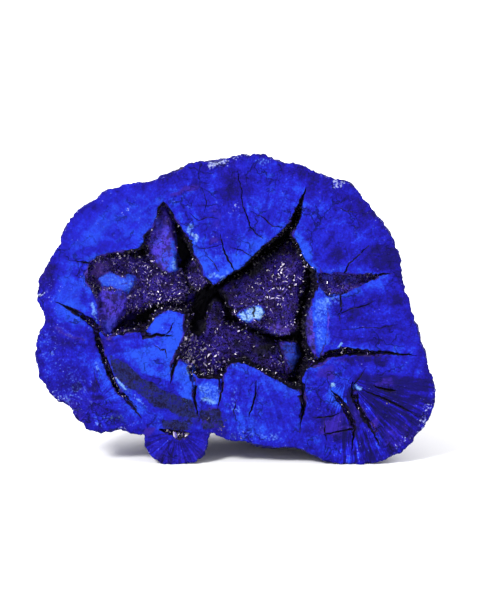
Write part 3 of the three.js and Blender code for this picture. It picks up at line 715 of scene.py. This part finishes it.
# Soft patches: x, z, half width and half height in mm, turn in degrees, and how much is added.
patches = {
    "tone": [
        (-18, 35, 8, 4, 25, 0.18), (-25, 24, 2.5, 7, 5, 0.18), (-3.8, 33.6, 1, 0.8, 0, -0.5),
        (-29, 17, 1.6, 5, 0, 0.15), (15.6, 5.6, 2.6, 2.2, 0, -0.3), (17, 2.8, 3.4, 2.4, 0, -0.34),
        (17.9, 7.8, 0.9, 2.6, 16, -0.5), (19.5, 6, 1.4, 2.6, 25, -0.3), (4, 5, 6, 2, -10, 0.1),
        (1.5, 31, 4, 3, 30, 0.25), (-5, 31, 2, 4, 30, 0.25), (20, 21, 6, 4.5, 0, -0.09),
        (0, 42, 3, 3, 0, -0.25), (22.2, 31, 3, 2, 0, -0.45), (19.2, 37, 1.8, 2, 0, -0.3),
        (15, 31.4, 1.6, 1.3, 0, -0.3), (13.5, 41, 7, 1.6, -28, -0.25), (-29, 14, 1.2, 2.4, 0, -0.1),
        (-28.3, 28, 1.6, 2.6, 0, -0.3), (25, 11.8, 4.5, 1, 0, -0.3), (26, 9.4, 3.2, 1, -20, -0.2),
        (21.5, 8.8, 2.6, 0.8, -25, -0.25), (-25.5, 18.2, 4, 0.6, -12, -0.22), (23, 5.2, 4.2, 2, 45, -0.15),
        (14, 6, 2.4, 1.6, 0, -0.25), (17.6, 8, 0.9, 3.2, 16, -0.8), (-22.5, 7.5, 3, 3, 0, -0.15),
        (-24, 12.5, 3, 2, 0, -0.15), (19.2, 11.8, 2.2, 1.8, 0, -0.45), (19.5, 15.6, 4.5, 0.8, 0, -0.6),
        (14.8, 10.2, 1.6, 1.4, -20, 0.3), (12.8, 8.2, 2.4, 2.6, 0, -0.15), (24, 24.5, 1.6, 1, 0, -0.4),
        (19.5, 24.2, 2.6, 0.6, 15, -0.25), (17.5, 22.3, 1.4, 0.6, 20, -0.35),
        (23.2, 20.2, 1.6, 0.5, 0, -0.25), (19, 18.4, 2.4, 0.6, 0, -0.2), (16, 2.2, 4, 1.2, 5, 0.15),
        # painted shade: the rows at (-19.8, 32.3) and (-23.2, 29) darken the face where it rounds into the
        # star gap
        (-11, 43, 2, 1.2, 25, -0.1), (22.6, 14.2, 1.6, 0.8, 0, 0.1), (-19.8, 32.3, 3.6, 0.9, 8, -0.32),
        (-23.2, 29, 0.9, 2.4, -20, -0.2), (-16, 18.2, 5, 1.2, 0, -0.28), (-23.9, 11.7, 0.8, 0.7, 0, -0.6),
        (-21.5, 11.5, 0.7, 0.7, 0, -0.6), (-21, 9.8, 0.9, 0.6, 0, -0.5),
        (-24.4, 20.1, 2.8, 0.7, -15, -0.35), (-19.3, 17.8, 1.4, 1.2, 0, -0.3),
        (-21, 18.4, 1.4, 1.4, 0, -0.3), (-23.4, 22.6, 1.6, 0.7, -35, -0.3), (-13, 14.2, 3, 0.8, -35, 0.25),
        (9, 40, 3, 2, -20, 0.1), (-9, 2.6, 4, 2.6, 0, -0.22), (-1.2, 40.5, 1.4, 1.6, 0, -0.2),
        (-7.4, 41.4, 2.4, 0.4, 34, -0.45), (24.6, 26, 1.6, 4, 0, -0.15),
    ],
    "calm": [
        (-20, 35.5, 8, 5, 30, 0.55), (-25.2, 25, 2.6, 6, 5, 0.55), (3, 35, 5, 3, 20, 0.25),
        (6, 8, 4, 4, 0, 0.3),
    ],
    "violet": [
        (-20.9, 28.6, 1.7, 2.8, -20, 0.8), (-18.6, 22.4, 1.6, 3, 0, 0.3), (7.2, 19.8, 2.6, 1.2, -8, 0.5),
        (-25, 19, 3.4, 0.7, -28, 0.35), (-19.3, 17.8, 1.4, 1.2, 0, 0.4), (-23, 9.5, 4, 4, 20, 0.36),
        (-8.9, 2.5, 5, 3, 0, 0.3), (0, 43, 2.5, 3, 0, 0.3), (-3.8, 33.6, 1, 0.8, 0, 0.7),
        (-2.9, 37, 0.8, 2.4, 15, 0.5), (14, 5.6, 2.4, 1.6, 0, 0.4), (22.5, 11.9, 1.8, 0.7, 0, 0.5),
        (24, 4, 3, 2, 35, 0.35), (13.6, 13.6, 1.8, 1.4, 0, 0.7), (15.4, 5.6, 2.8, 1.7, 10, 0.35),
        (17.9, 7.8, 0.8, 2.4, 16, 0.4), (-8, 41, 3, 0.6, 22, 0.8), (-3.8, 6.9, 1.6, 1.6, 0, 0.6),
        (-28.3, 28, 1.6, 2.6, 0, 0.25), (-13.2, 4.8, 0.8, 0.8, 0, 0.9), (20.5, 5.8, 1.2, 0.7, 40, 0.7),
        (16, 15.2, 1.6, 0.7, 10, 0.5), (-12, 38.4, 1.4, 0.6, 60, 0.4),
    ],
    "navy": [
        (-24, 7.5, 1, 1, 0, 0.4), (-18, 6.6, 2, 0.9, 0, 0.4), (-17.4, 12.2, 1.6, 2.2, 30, 0.4),
        (17.8, 8, 0.5, 2.4, 16, 0.25), (-24.5, 17, 3, 0.5, -18, 0.2), (-7.6, 6.2, 3, 1.6, 0, 0.55),
        (-1.9, 6.6, 0.8, 1.4, 0, 0.4), (-1.5, 4.2, 2.4, 0.9, 0, 0.3),
    ],
    "pale": [
        (-28.6, 17, 1.4, 5, 0, 0.08), (-10.4, 30.4, 1.2, 1.8, 0, 0.16), (-26.5, 15, 5, 8, 0, 0.26),
        (-21.5, 9, 6, 5, 0, 0.18), (-14.5, 6, 7, 2, 0, 0.2), (3, 3.6, 7, 1.4, -4, 0.26),
        # painted highlights: the small strong spots at (-7.2, 14), (15.7, 17.8), (14.8, 11.6), (18.4, 11.2),
        # (-17.2, 11.9) and (-6.7, 34.6)
        (13, 9, 2.6, 2.8, 0, 0.18), (14.6, 24.4, 1.8, 1, 10, 0.45), (-7.2, 14, 0.5, 0.7, 0, 0.9),
        (15.7, 17.8, 0.4, 0.7, -30, 1.2), (14.8, 11.6, 0.6, 0.5, 0, 1.6), (18.4, 11.2, 0.6, 0.4, 20, 0.8),
        (-6.7, 34.6, 0.5, 1.5, 28, 0.8), (-3, 28.2, 2, 0.5, 0, 0.7), (-20.6, 14.6, 0.6, 1.1, 20, 0.5),
        (-17.2, 11.9, 1, 0.3, -40, 0.9), (-14.6, 9.6, 1.8, 0.3, -45, 0.6), (3.8, 45.6, 1.6, 0.6, -10, 0.5),
        (12.6, 28.2, 0.8, 0.6, 0, 0.3), (-1.6, 31.4, 2.2, 1.8, 0, 0.25), (-4.2, 35, 1.6, 1, 0, 0.25),
        (-0.2, 9.6, 1, 2.6, 0, 0.3), (-9.5, 29.4, 0.6, 0.9, 0, 0.3), (-4.4, 9.2, 1.4, 0.4, 0, 0.5),
        (19.6, 2, 1.2, 0.5, 30, 0.3),
    ],
    "dust": [
        (-3, 45, 1.6, 0.9, 10, 0.7), (15.4, 42.1, 1, 0.8, 0, 0.7), (-16.6, 37.8, 1, 0.8, 0, 0.42),
        (-19.9, 39.2, 0.9, 0.6, 0, 0.36), (-29.4, 25.7, 0.8, 0.5, 0, 0.7), (-0.4, 38.4, 0.8, 0.6, 0, 0.45),
        (-26.6, 10.2, 1.6, 1.2, 30, 0.22), (2.5, 4, 6, 0.8, -5, 0.12), (-17, 5.4, 1.4, 0.8, 0, 0.3),
        (28.6, 7, 0.8, 4, -15, 0.35), (-17.5, 12.6, 0.6, 0.4, 0, 0.5), (0, 46, 3, 0.5, 0, 0.45),
        (25, 3, 4, 0.6, 40, 0.35), (-6.6, 34.4, 0.5, 1, 28, 0.5), (-27, 18, 1.5, 6, 0, 0.2),
        (-23, 9.5, 5, 4.5, 0, 0.08), (-28, 26.5, 1.6, 3, 0, 0.2), (-13, 43.5, 5, 1.4, 20, 0.12),
    ],
    "ochre": [
        (-2, 4.8, 1.2, 0.9, 0, 0.5), (0.6, 3.9, 1, 0.6, 0, 0.5), (23.2, 9.4, 2.2, 0.3, -24, 0.65),
        (-3.6, 6.4, 1.4, 1, 0, 0.3), (20, 20.5, 2.6, 0.25, 0, 0.35), (18.4, 8.6, 0.3, 1, 0, 0.45),
    ],
    "bare": [
        (0.8, 21.8, 3, 1.8, -10, 0.3), (4, 19.6, 3.6, 1.2, -15, 0.3), (7.2, 19.9, 2.6, 1, -8, 0.5),
        (-20.9, 28.6, 1.7, 2.8, -20, 0.62), (-9, 29, 1.6, 2, 0, 0.2),
    ],
    # where crystals get more and larger painted glints
    "glitter": [
        (6.2, 27, 2.4, 3, -20, 1), (6, 23.6, 1.2, 1.6, 0, 0.8), (-0.6, 20.6, 1.6, 0.7, -20, 0.4),
        (-13.5, 25.5, 3, 2.5, 0, 0.35), (-7, 16.5, 1.4, 2.4, 0, 1.6), (-4.6, 15.4, 2, 2.2, 0, 1.1),
        (-17, 30.6, 1.8, 0.9, 0, 0.6), (3, 18.5, 3, 1.2, -20, 0.4), (16, 27.4, 5, 2, 0, -0.8),
        (-9, 4.2, 2.4, 1.2, 0, 2),
    ],
    # painted light and shade of the gap walls and crystals: more is lit, less is shaded
    "open": [
        (-14, 26, 6, 5, 0, 0.25), (-7.2, 17.5, 1.2, 4, 0, 0.5), (-5.7, 21, 1, 3.6, -25, -0.9),
        (-3.9, 24.8, 2.4, 2.4, 0, -0.8), (-11.6, 34, 2, 5, 0, 0.3), (-19, 30.3, 3.6, 1.6, 0, 0.7),
        (-21, 26, 1.6, 4, 0, 0.8), (-8.2, 26, 2.2, 3, 0, 0.6), (-16.8, 21.8, 1.4, 2.2, 0, 0.6),
        (-19, 20, 1.4, 1.6, 0, 0.6), (2.6, 17, 4, 2.6, 0, -0.4), (0.2, 29.2, 3.4, 1, 38, -0.5),
        (-5.8, 28.4, 1.8, 2.4, 20, 0.7), (-3, 22.2, 1.4, 2.4, 0, 0.45),
    ],
    # painted shade over dark slots, shafts and shadowed floors
    "dim": [
        (10.5, 21, 0.9, 6, 0, 0.9), (9.8, 12, 1, 3, 0, 0.7), (-11, 37.6, 1.5, 2.2, 0, 0.6),
        (14.2, 27, 4, 2.4, 0, 0.2), (-3.4, 25.6, 1.6, 1.6, 0, 0.5), (-7.4, 31.5, 1.2, 5, 15, 0.8),
        (8.6, 13, 2, 2, 0, 0.4), (0.6, 29.6, 3.8, 2, 38, 0.7), (3, 17, 4, 2.6, 0, 0.5),
        (3.4, 30.6, 3.8, 1.9, 42, 1.2), (8, 33, 2.6, 2.2, 0, 0.55), (-2.5, 20.2, 3, 2.4, 0, 0.35),
        (-2.6, 23, 1.6, 2, 0, 0.7), (-0.8, 26.4, 1.8, 1.8, 0, 0.5), (-16.3, 27, 0.5, 0.9, 30, 0.4),
        (-18.2, 27.4, 0.3, 0.5, -30, 0.35),
    ],
}

# Facets with crisp edges: the corners as x, z in mm, and how much of each is added inside them.
facets = {
    "crest": ([(0.1, 22.2), (1.2, 23), (2.7, 23.6), (3.3, 24.1), (4.3, 22.9), (4, 21.9), (3.5, 21.2),
               (2.6, 21.6), (2, 20.9), (1.3, 21.2)], {"pale": 1.3, "bare": 1}),
    # painted shade in the crest's crack and along its edge
    "crestCrack": ([(2.5, 23.7), (2.85, 23.6), (2.8, 21.9), (2.45, 22)], {"dim": 2}),
    "crestEdge": ([(0.8, 22.7), (1.3, 22.7), (2, 21.5), (1.5, 21.4)], {"dim": 1, "pale": -0.3}),
    "island": ([(-21.2, 27.9), (-18.9, 28.8), (-17.3, 28), (-16.2, 28.4), (-14.9, 27.7), (-15.5, 26.3),
                (-16.6, 25), (-17.5, 26), (-18.9, 26.5), (-20.4, 26.4)], {"pale": 0.5, "bare": 1}),
    "tongue": ([(-21.4, 25.9), (-17.5, 26), (-16.4, 24.8), (-16.7, 22.4), (-18.4, 19.6), (-19.2, 18.8),
                (-20.5, 19.8), (-21.2, 23)], {"bare": 0.85}),
    "seam": ([(-27.6, 20.7), (-25, 19.3), (-22, 18.7), (-22, 18.2), (-25, 18.8), (-27.8, 20.2)],
             {"violet": 0.6, "pale": 0.22}),
    "sliver": ([(-22.2, 24.6), (-21.4, 24.4), (-20.7, 21.3), (-21.2, 20.6)], {"pale": 0.7, "bare": 1}),
    "wedge": ([(-10.9, 39.1), (-9.2, 36.6), (-9, 32.5), (-8.8, 28.6), (-10.7, 28.8), (-12.7, 31.2),
               (-13.3, 33.7), (-12.3, 36.6)], {"bare": 0.72}),
    "wedgeLow": ([(-9.4, 36), (-9, 32.5), (-8.8, 28.6), (-10.7, 28.8), (-12, 30.8), (-11.2, 33.6)],
                 {"bare": 0.3, "pale": 0.12}),
    # a painted lit edge along the wedge
    "wedgeLitEdge": ([(-9.9, 33.8), (-9.3, 33.4), (-8.9, 31), (-8.9, 28.8), (-10.4, 28.8), (-9.7, 31)],
                  {"pale": 0.3}),
    # the step is darkened with painted shade
    "step": ([(6.6, 17.9), (9.6, 17.7), (10.2, 15.5), (8.9, 12.8), (7.4, 14.8)],
             {"pale": 0.4, "bare": 0.8, "dim": 0.65}),
    "cube": ([(-5.7, 11.8), (-4, 12.4), (-2.5, 11.6), (-2.6, 9.3), (-3.8, 8.6), (-5.5, 9.5)],
             {"pale": 0.5, "tone": 0.4, "bare": 1}),
    "peninsula": ([(-12.5, 21.3), (-11.3, 22.6), (-9, 22.8), (-8, 20.9), (-8.2, 18.8), (-9.4, 16.4),
                   (-11.1, 19.3), (-13.1, 19.3)], {"tone": 0.35, "bare": 1}),
    "between": ([(-9, 14.7), (-6.5, 14.7), (-6.1, 11.4), (-7.3, 8.1), (-9.4, 11.8)],
                {"tone": 0.4, "pale": 0.25}),
    "field": ([(-19.7, 17.2), (-17.3, 18.6), (-10.2, 19.3), (-8.2, 18.9), (-8.6, 16.4), (-9.8, 12.2),
               (-14.4, 13.5), (-17.3, 16)], {"tone": 0.26}),
    "band": ([(-19.2, 16.4), (-17.6, 15.8), (-14.2, 12.9), (-10.6, 10.9), (-6.5, 9.2), (-5.9, 6.9),
              (-8.6, 7.2), (-12, 8.4), (-14.6, 10.4), (-16.4, 11.6), (-18.7, 13.6)], {"navy": 0.8}),
    "bandLow": ([(-11.5, 6.5), (-7.8, 6.1), (-6.5, 4.8), (-11.1, 5.2)], {"navy": 0.7}),
    "underCube": ([(-5.7, 8.1), (-2.4, 8.5), (-2, 5.2), (-4.9, 4.8)], {"navy": 0.72, "violet": 0.2}),
    "cheek": ([(10.7, 23), (12.4, 25.3), (13.8, 24.6), (13.2, 20.5), (13.6, 17.2), (12, 16), (10.7, 18)],
              {"tone": 0.1, "pale": 0.1, "violet": 0.3, "bare": 1}),
    "cheekLit": ([(11.8, 24.6), (13.9, 25), (14.2, 23.2), (13.8, 21.6), (14.3, 18.4), (12.8, 16.8),
                  (11.8, 18.2), (12.2, 20.2), (11.7, 22)], {"tone": 0.25, "pale": 0.35, "violet": -0.3}),
    "cheekSide": ([(13.8, 24.2), (16.1, 23.4), (15.7, 18.9), (14, 17.2), (13.4, 20.5)],
                  {"violet": 0.35, "tone": -0.05, "bare": 1}),
    "shoulder": ([(8.7, 35), (10.7, 34.1), (12.4, 28.8), (10.7, 29.6), (9.1, 32.5)],
                 {"tone": 0.35, "pale": 0.12}),
    "bottom": ([(-1.4, 13.5), (0.8, 15.1), (9.5, 10.6), (9.9, 6.9), (9.5, 4), (4.5, 3.1), (-1.6, 4.8)],
               {"tone": 0.04, "pale": 0.14}),
    "lobeWedge": ([(13.4, 5.6), (17.4, 5.8), (17.7, 5), (13.4, 4.2)], {"tone": -0.6, "violet": 0.2}),
    # the pocket gets painted light
    "pocket": ([(12.2, 25.2), (12.4, 29.4), (17, 29.8), (23.2, 28.8), (17, 25.6)],
               {"bare": 0.5, "open": 0.5}),
    "lip": ([(-3, 14), (-2, 13), (-1, 14.6), (-2.4, 15.4)], {"bare": 0.4}),
    "fan": ([(17.6, 12.8), (20.5, 13.4), (24, 13), (29.2, 12.6), (29.4, 8), (27, 3.4), (23.4, 1.6),
             (21.4, 4.4), (18.8, 8.6)], {"tone": -0.28, "violet": 0.12}),
}


patchFade = (0.45, 1.35)  # where a patch starts to fade and where it ends, as shares of its half size


def patchAmount(places, patch):
    x, z, halfWidth, halfHeight, turn, amount = patch
    angle = math.radians(turn)
    across, up = places[:, 0] - x, places[:, 2] - z
    along = (across * math.cos(angle) + up * math.sin(angle)) / halfWidth
    beside = (up * math.cos(angle) - across * math.sin(angle)) / halfHeight
    return amount * (1 - smooth(np.hypot(along, beside), *patchFade))


def within(places, corners):
    # mm inside that outline, negative outside it
    x, z = places[:, 0], places[:, 2]
    nearest = np.full(len(x), 99.0)
    inside = np.zeros(len(x), bool)
    for (x0, z0), (x1, z1) in zip(corners, corners[1:] + corners[:1]):
        dx, dz = x1 - x0, z1 - z0
        share = np.clip(((x - x0) * dx + (z - z0) * dz) / (dx * dx + dz * dz), 0, 1)
        nearest = np.minimum(nearest, np.hypot(x - x0 - share * dx, z - z0 - share * dz))
        inside ^= ((z0 > z) != (z1 > z)) & (x < dx * (z - z0) / (dz or 0.001) + x0)
    return np.where(inside, nearest, -nearest)


def distances(places, marks):
    # mm from each place to the nearest of the marked ones
    tree = kdtree.KDTree(int(marks.sum()))
    for i, p in enumerate(places[marks]):
        tree.insert(p, i)
    tree.balance()
    return np.array([tree.find(p)[2] for p in places])


tones = {"all": 0.54, "litGapLips": 0.20, "rings": 0.14, "rim": 0.16}  # how bright the face is
gapEnds = {"star": -6.5, "trough": 19.5, "slope": 0.15}  # mm across and mm up where a gap's crystals end


def paintStone(body):
    places = points(body)
    front = ofSlot(body, "face")
    wall = ofSlot(body, "wall")
    rind = ofSlot(body, "rind")
    # soft patches have loose edges, facets crisp ones
    loose = places.copy()
    crisp = places.copy()
    for axis, seed in ((0, 41), (2, 42)):
        loose[:, axis] += waves(places, 1.8, seed) * 0.9
        crisp[:, axis] += waves(places, 0.7, seed) * 0.26 + waves(places, 2.2, seed + 6) * 0.3
    amounts = {name: np.zeros(len(places)) for name in patches}
    # the painted light and shade of the gaps
    amounts["open"] += paintedLighting(body, places)
    for name, group in patches.items():
        for patch in group:
            amounts[name] += patchAmount(loose, patch)
    for corners, shares in facets.values():
        cover = smooth(within(crisp, corners), -0.2, 0.3)
        for name, share in shares.items():
            amounts[name] += cover * share
    toGap, toRim = np.full(len(places), 9.0), np.full(len(places), 9.0)
    toGap[front] = distances(places[front], wall[front])
    toRim[front] = distances(places[front], rind[front])
    rings = growthRings(places)
    # painted light on the lips of the gaps
    amounts["tone"] += tones["all"] + tones["litGapLips"] * (1 - smooth(toGap, 0, 2.0)) + tones["rings"] * rings
    amounts["tone"] -= tones["rim"] * (1 - smooth(toRim, 0, 1.8))
    amounts["violet"] += 0.22 * (1 - smooth(toRim, 0.2, 1.6))
    amounts["dust"] += 0.22 * (1 - smooth(toRim, 0.0, 0.6))
    turned, amounts["fibreWeight"] = fibres(places)
    fibre = body.data.attributes.new("fibre", "FLOAT_VECTOR", "POINT")
    fibre.data.foreach_set("vector", turned.astype(np.float32).ravel())
    for name, values in amounts.items():
        writeAttribute(body, name, values)
    # crystals grow from just under the face to the floors of the gaps, except on bare stone
    cover = smooth(places[:, 1], 0.5, 1.1) * (1 - smooth(amounts["bare"], 0.4, 0.8))
    grown = wall | (ofSlot(body, "crack") & (amounts["glitter"] > 1))
    cover = cover * (grown & ~front) * (1 - smooth(places[:, 1], 6.5, 9.5))
    cover = cover * np.clip(0.35 + 0.9 * amounts["open"], 0, 1)
    left = places[:, 0] < gapEnds["star"]
    below = places[:, 2] < gapEnds["trough"] - places[:, 0] * gapEnds["slope"]
    writeAttribute(body, "starCover", cover * left)
    writeAttribute(body, "kiteCover", cover * ~left * ~below)
    writeAttribute(body, "troughCover", cover * ~left * below)


def growthRings(places):
    # bands that run round the middle of the nodule, from about -1 to 1
    x, z = fans["whole"]["at"]
    across, up = places[:, 0] - x, (places[:, 2] - z) * 1.25
    radius = np.hypot(across, up) + 0.001
    turned = np.column_stack((across / radius * 3.0, radius * 0.9, up / radius * 3.0))
    return waves(turned, 1.0, 51, 3)


def paintedLighting(body, places):
    # painted light and shade: 1 on the floors of the gaps, 0 on their steep walls and in their depths
    facing = smooth(-normals(body)[:, 1], 0.25, 0.8)
    facing = facing * (1 - smooth(places[:, 1], 5.5, 8.5))
    return facing * (0.72 + 0.5 * waves(places, 1.8, 61))


druse = {
    "width": 0.36,  # mm
    "length": 0.68,
    "flat": 0.62,  # thickness of the blade as a share of its width
    "tip": (0.72, 0.22, 1),  # how the blade narrows to its end
    "slant": 0.5,  # radians
    "spacing": 0.2,
    "density": 40,  # tries per square mm
    "tilt": 0.75,  # radians
    "sizes": (0.6, 1.1),
    "paintedGlintChance": 0.905,  # chance above which a crystal gets a painted glint
    "brightest": 0.95,  # shade of the others at most
    "glint": (-0.40, -0.82, 0.41),  # the way that the faces with a painted glint look
}


def crystalMaterial():
    # dark violet crystals, with painted sheen and glints on the faces that look one way
    paint, graph, place = startMaterial("azurite crystals", 0.16, 0.15, 1.8)
    shade = graph.attribute("shade")
    base = graph.mix(graph.between(shade, 0.2, 0.7), "night", "wine")
    base = graph.mix(graph.between(shade, 0.6, 0.9), base, "bloom")
    warm = graph.between(graph.grain(place, 2.2, 3, 0.6), 0.55, 0.42) * graph.between(shade, 0.75, 0.5)
    base = graph.mix(warm * 0.7, base, "smoke")
    turned = graph.node("ShaderNodeNewGeometry", None, None, "True Normal")
    settings = {"operation": "DOT_PRODUCT"}
    turned = graph.node("ShaderNodeVectorMath", settings, {0: turned, 1: druse["glint"]}, "Value")
    # painted glints and sheen on the faces turned towards the glint way
    flash = graph.between(turned, 0.70, 0.85) * graph.between(shade, 0.98, 0.99)
    facing = graph.between(turned, 0.6, 0.9) * graph.between(shade, 0.55, 0.8)
    base = graph.mix(facing, base, "sheen")
    base = graph.mix(facing * graph.between(shade, 0.80, 0.87), base, "gleam")
    base = graph.mix(flash, base, "flash")
    graph.feed("Base Color", base)
    graph.feed("Coat Weight", graph.between(shade, 0.75, 0.95) * 0.8)
    graph.feed("Roughness", 0.10 + graph.grain(place, 0.25, 2, 0.5) * 0.2)
    return paint


def makeCrystal():
    # a slim six-sided blade with a slanted chisel end
    radius, length = druse["width"] * mm / 2, druse["length"] * mm
    bpy.ops.mesh.primitive_cylinder_add(vertices=6, radius=radius, depth=length, end_fill_type="NGON")
    crystal = bpy.context.object
    crystal.name = "crystal"
    mode("EDIT")
    bpy.ops.mesh.select_all(action="SELECT")
    bpy.ops.transform.resize(value=(1, druse["flat"], 1))
    bpy.ops.mesh.select_all(action="DESELECT")
    mode("OBJECT")
    for polygon in crystal.data.polygons:
        polygon.select = polygon.normal.z > 0.9
    mode("EDIT")
    bpy.ops.transform.resize(value=druse["tip"])
    bpy.ops.transform.rotate(value=druse["slant"], orient_axis="Y", center_override=(0, 0, length / 2))
    mode("OBJECT")
    return crystal


def named(graph, name):
    # what the stone carries under that name
    return graph.node("GeometryNodeInputNamedAttribute", {"data_type": "FLOAT"}, {"Name": name})


def luck(graph, seed):
    # from 0 to 1 for each crystal
    return graph.node("FunctionNodeRandomValue", {"data_type": "FLOAT"}, {"Seed": seed}, 1)


def luckOnAxes(graph, least, most, seed):
    # the same on each axis, between two ends
    inputs = {"Min": least, "Max": most, "Seed": seed}
    return graph.node("FunctionNodeRandomValue", {"data_type": "FLOAT_VECTOR"}, inputs)


def growDruse(body, crystal, name, coverName, seed):
    # crystals scattered over the stone where the attribute allows, as one mesh
    piece = bpy.data.objects.new(name, body.data.copy())
    bpy.context.collection.objects.link(piece)
    tree = bpy.data.node_groups.new(name, "GeometryNodeTree")
    for side in ("INPUT", "OUTPUT"):
        tree.interface.new_socket("Geometry", in_out=side, socket_type="NodeSocketGeometry")
    graph = Graph(tree)
    surface = graph.node("NodeGroupInput")
    spread = {
        "Mesh": surface,
        "Distance Min": druse["spacing"] * mm,
        "Density Max": druse["density"] / mm**2,
        "Density Factor": named(graph, coverName),
        "Seed": seed,
    }
    scatter = graph.node("GeometryNodeDistributePointsOnFaces", {"distribute_method": "POISSON"}, spread)
    turned = Signal(graph, scatter.socket.node.outputs["Rotation"])
    tilt = druse["tilt"]
    swing = luckOnAxes(graph, (-tilt, -tilt, -math.pi), (tilt, tilt, math.pi), seed + 1)
    inputs = {"Rotation": turned, "Rotate By": swing}
    turned = graph.node("FunctionNodeRotateRotation", {"rotation_space": "LOCAL"}, inputs)
    lit, glitter, dim, bare = [named(graph, key) for key in ("open", "glitter", "dim", "bare")]
    least, most = druse["sizes"]
    size = luckOnAxes(graph, (least, least, least), (most, most, most), seed + 2)
    growth = luck(graph, seed + 4)
    shade = luck(graph, seed + 3)
    # painted light and shade of the crystals: darker in painted shade, lighter and glinting where glints are
    # painted
    chance = 1 - shade + glitter * 0.16 - dim * 0.08 + (lit - 0.8) * 0.03
    shade = shade * (0.35 + lit * 0.65) * (1 - bare * 0.7) * (1 - dim * 0.7) + bare * 0.8 + glitter * 0.07
    shade = graph.sum("MINIMUM", shade, druse["brightest"])
    hasPaintedGlint = graph.sum("GREATER_THAN", chance, druse["paintedGlintChance"])
    shade = shade * (1 - hasPaintedGlint) + hasPaintedGlint
    larger = 0.7 + growth * growth * growth * (0.6 + glitter * 0.5) + hasPaintedGlint * glitter * 0.35
    size = graph.node("ShaderNodeVectorMath", {"operation": "SCALE"}, {0: size, "Scale": larger})
    settings = {"data_type": "FLOAT", "domain": "POINT"}
    inputs = {"Geometry": scatter, "Name": "shade", "Value": shade}
    seeds = graph.node("GeometryNodeStoreNamedAttribute", settings, inputs)
    shape = graph.node("GeometryNodeObjectInfo", None, {"Object": crystal}, "Geometry")
    inputs = {"Points": seeds, "Instance": shape, "Rotation": turned, "Scale": size}
    grown = graph.node("GeometryNodeInstanceOnPoints", None, inputs)
    grown = graph.node("GeometryNodeRealizeInstances", None, {"Geometry": grown})
    tree.links.new(grown.socket, tree.nodes.new("NodeGroupOutput").inputs[0])
    applyModifier(piece, "NODES", {"node_group": tree})
    piece.data.materials.clear()
    piece.data.materials.append(crystalPaint)
    pickOnly(piece)
    bpy.ops.object.shade_flat()
    print(name, "has", len(piece.data.polygons), "faces")
    return piece


thinned = {  # mm deep where it starts, and the share of the polygons that stay
    "rind": (1.5, 0.14),
    "wall": (0.8, 0.12),
}


def thin(body, slot, depth, ratio):
    # fewer polygons away from the broken face, except on bare stone
    bare = body.data.attributes["bare"].data
    for polygon in body.data.polygons:
        deep = polygon.center.y > depth * mm and bare[polygon.vertices[0]].value < 0.3
        polygon.select = polygon.material_index == slots[slot] and deep
    pickOnly(body)
    mode("EDIT")
    bpy.ops.mesh.decimate(ratio=ratio)
    bpy.ops.mesh.select_all(action="DESELECT")
    mode("OBJECT")


def finishPiece(piece):
    # stand it up where the frame has it, worn flat where it meets the floor
    piece.data.transform(standUp)
    for vertex in piece.data.vertices:
        vertex.co.z = max(vertex.co.z, 0)
    piece.data.update()
    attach(piece, "root")


def triangles(piece):
    piece.data.calc_loop_triangles()
    return len(piece.data.loop_triangles)


body = startStone()
print("skin:", len(body.data.polygons), "faces")
sortFaces(body)
shapeStone(body)
print("stone roughened")
cutCracks(body)
paintStone(body)
print("stone painted")
crystalPaint = crystalMaterial()
crystal = makeCrystal()
pieces = [
    growDruse(body, crystal, "star_crystals", "starCover", 5),
    growDruse(body, crystal, "kite_crystals", "kiteCover", 11),
    growDruse(body, crystal, "trough_crystals", "troughCover", 17),
]
bpy.data.objects.remove(crystal)
for slot, (depth, ratio) in thinned.items():
    thin(body, slot, depth, ratio)
pickOnly(body)
bpy.ops.object.shade_smooth()
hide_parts("azurite_nodule")
for piece in [body, *pieces]:
    finishPiece(piece)
    print(piece.name, "has", triangles(piece), "triangles")
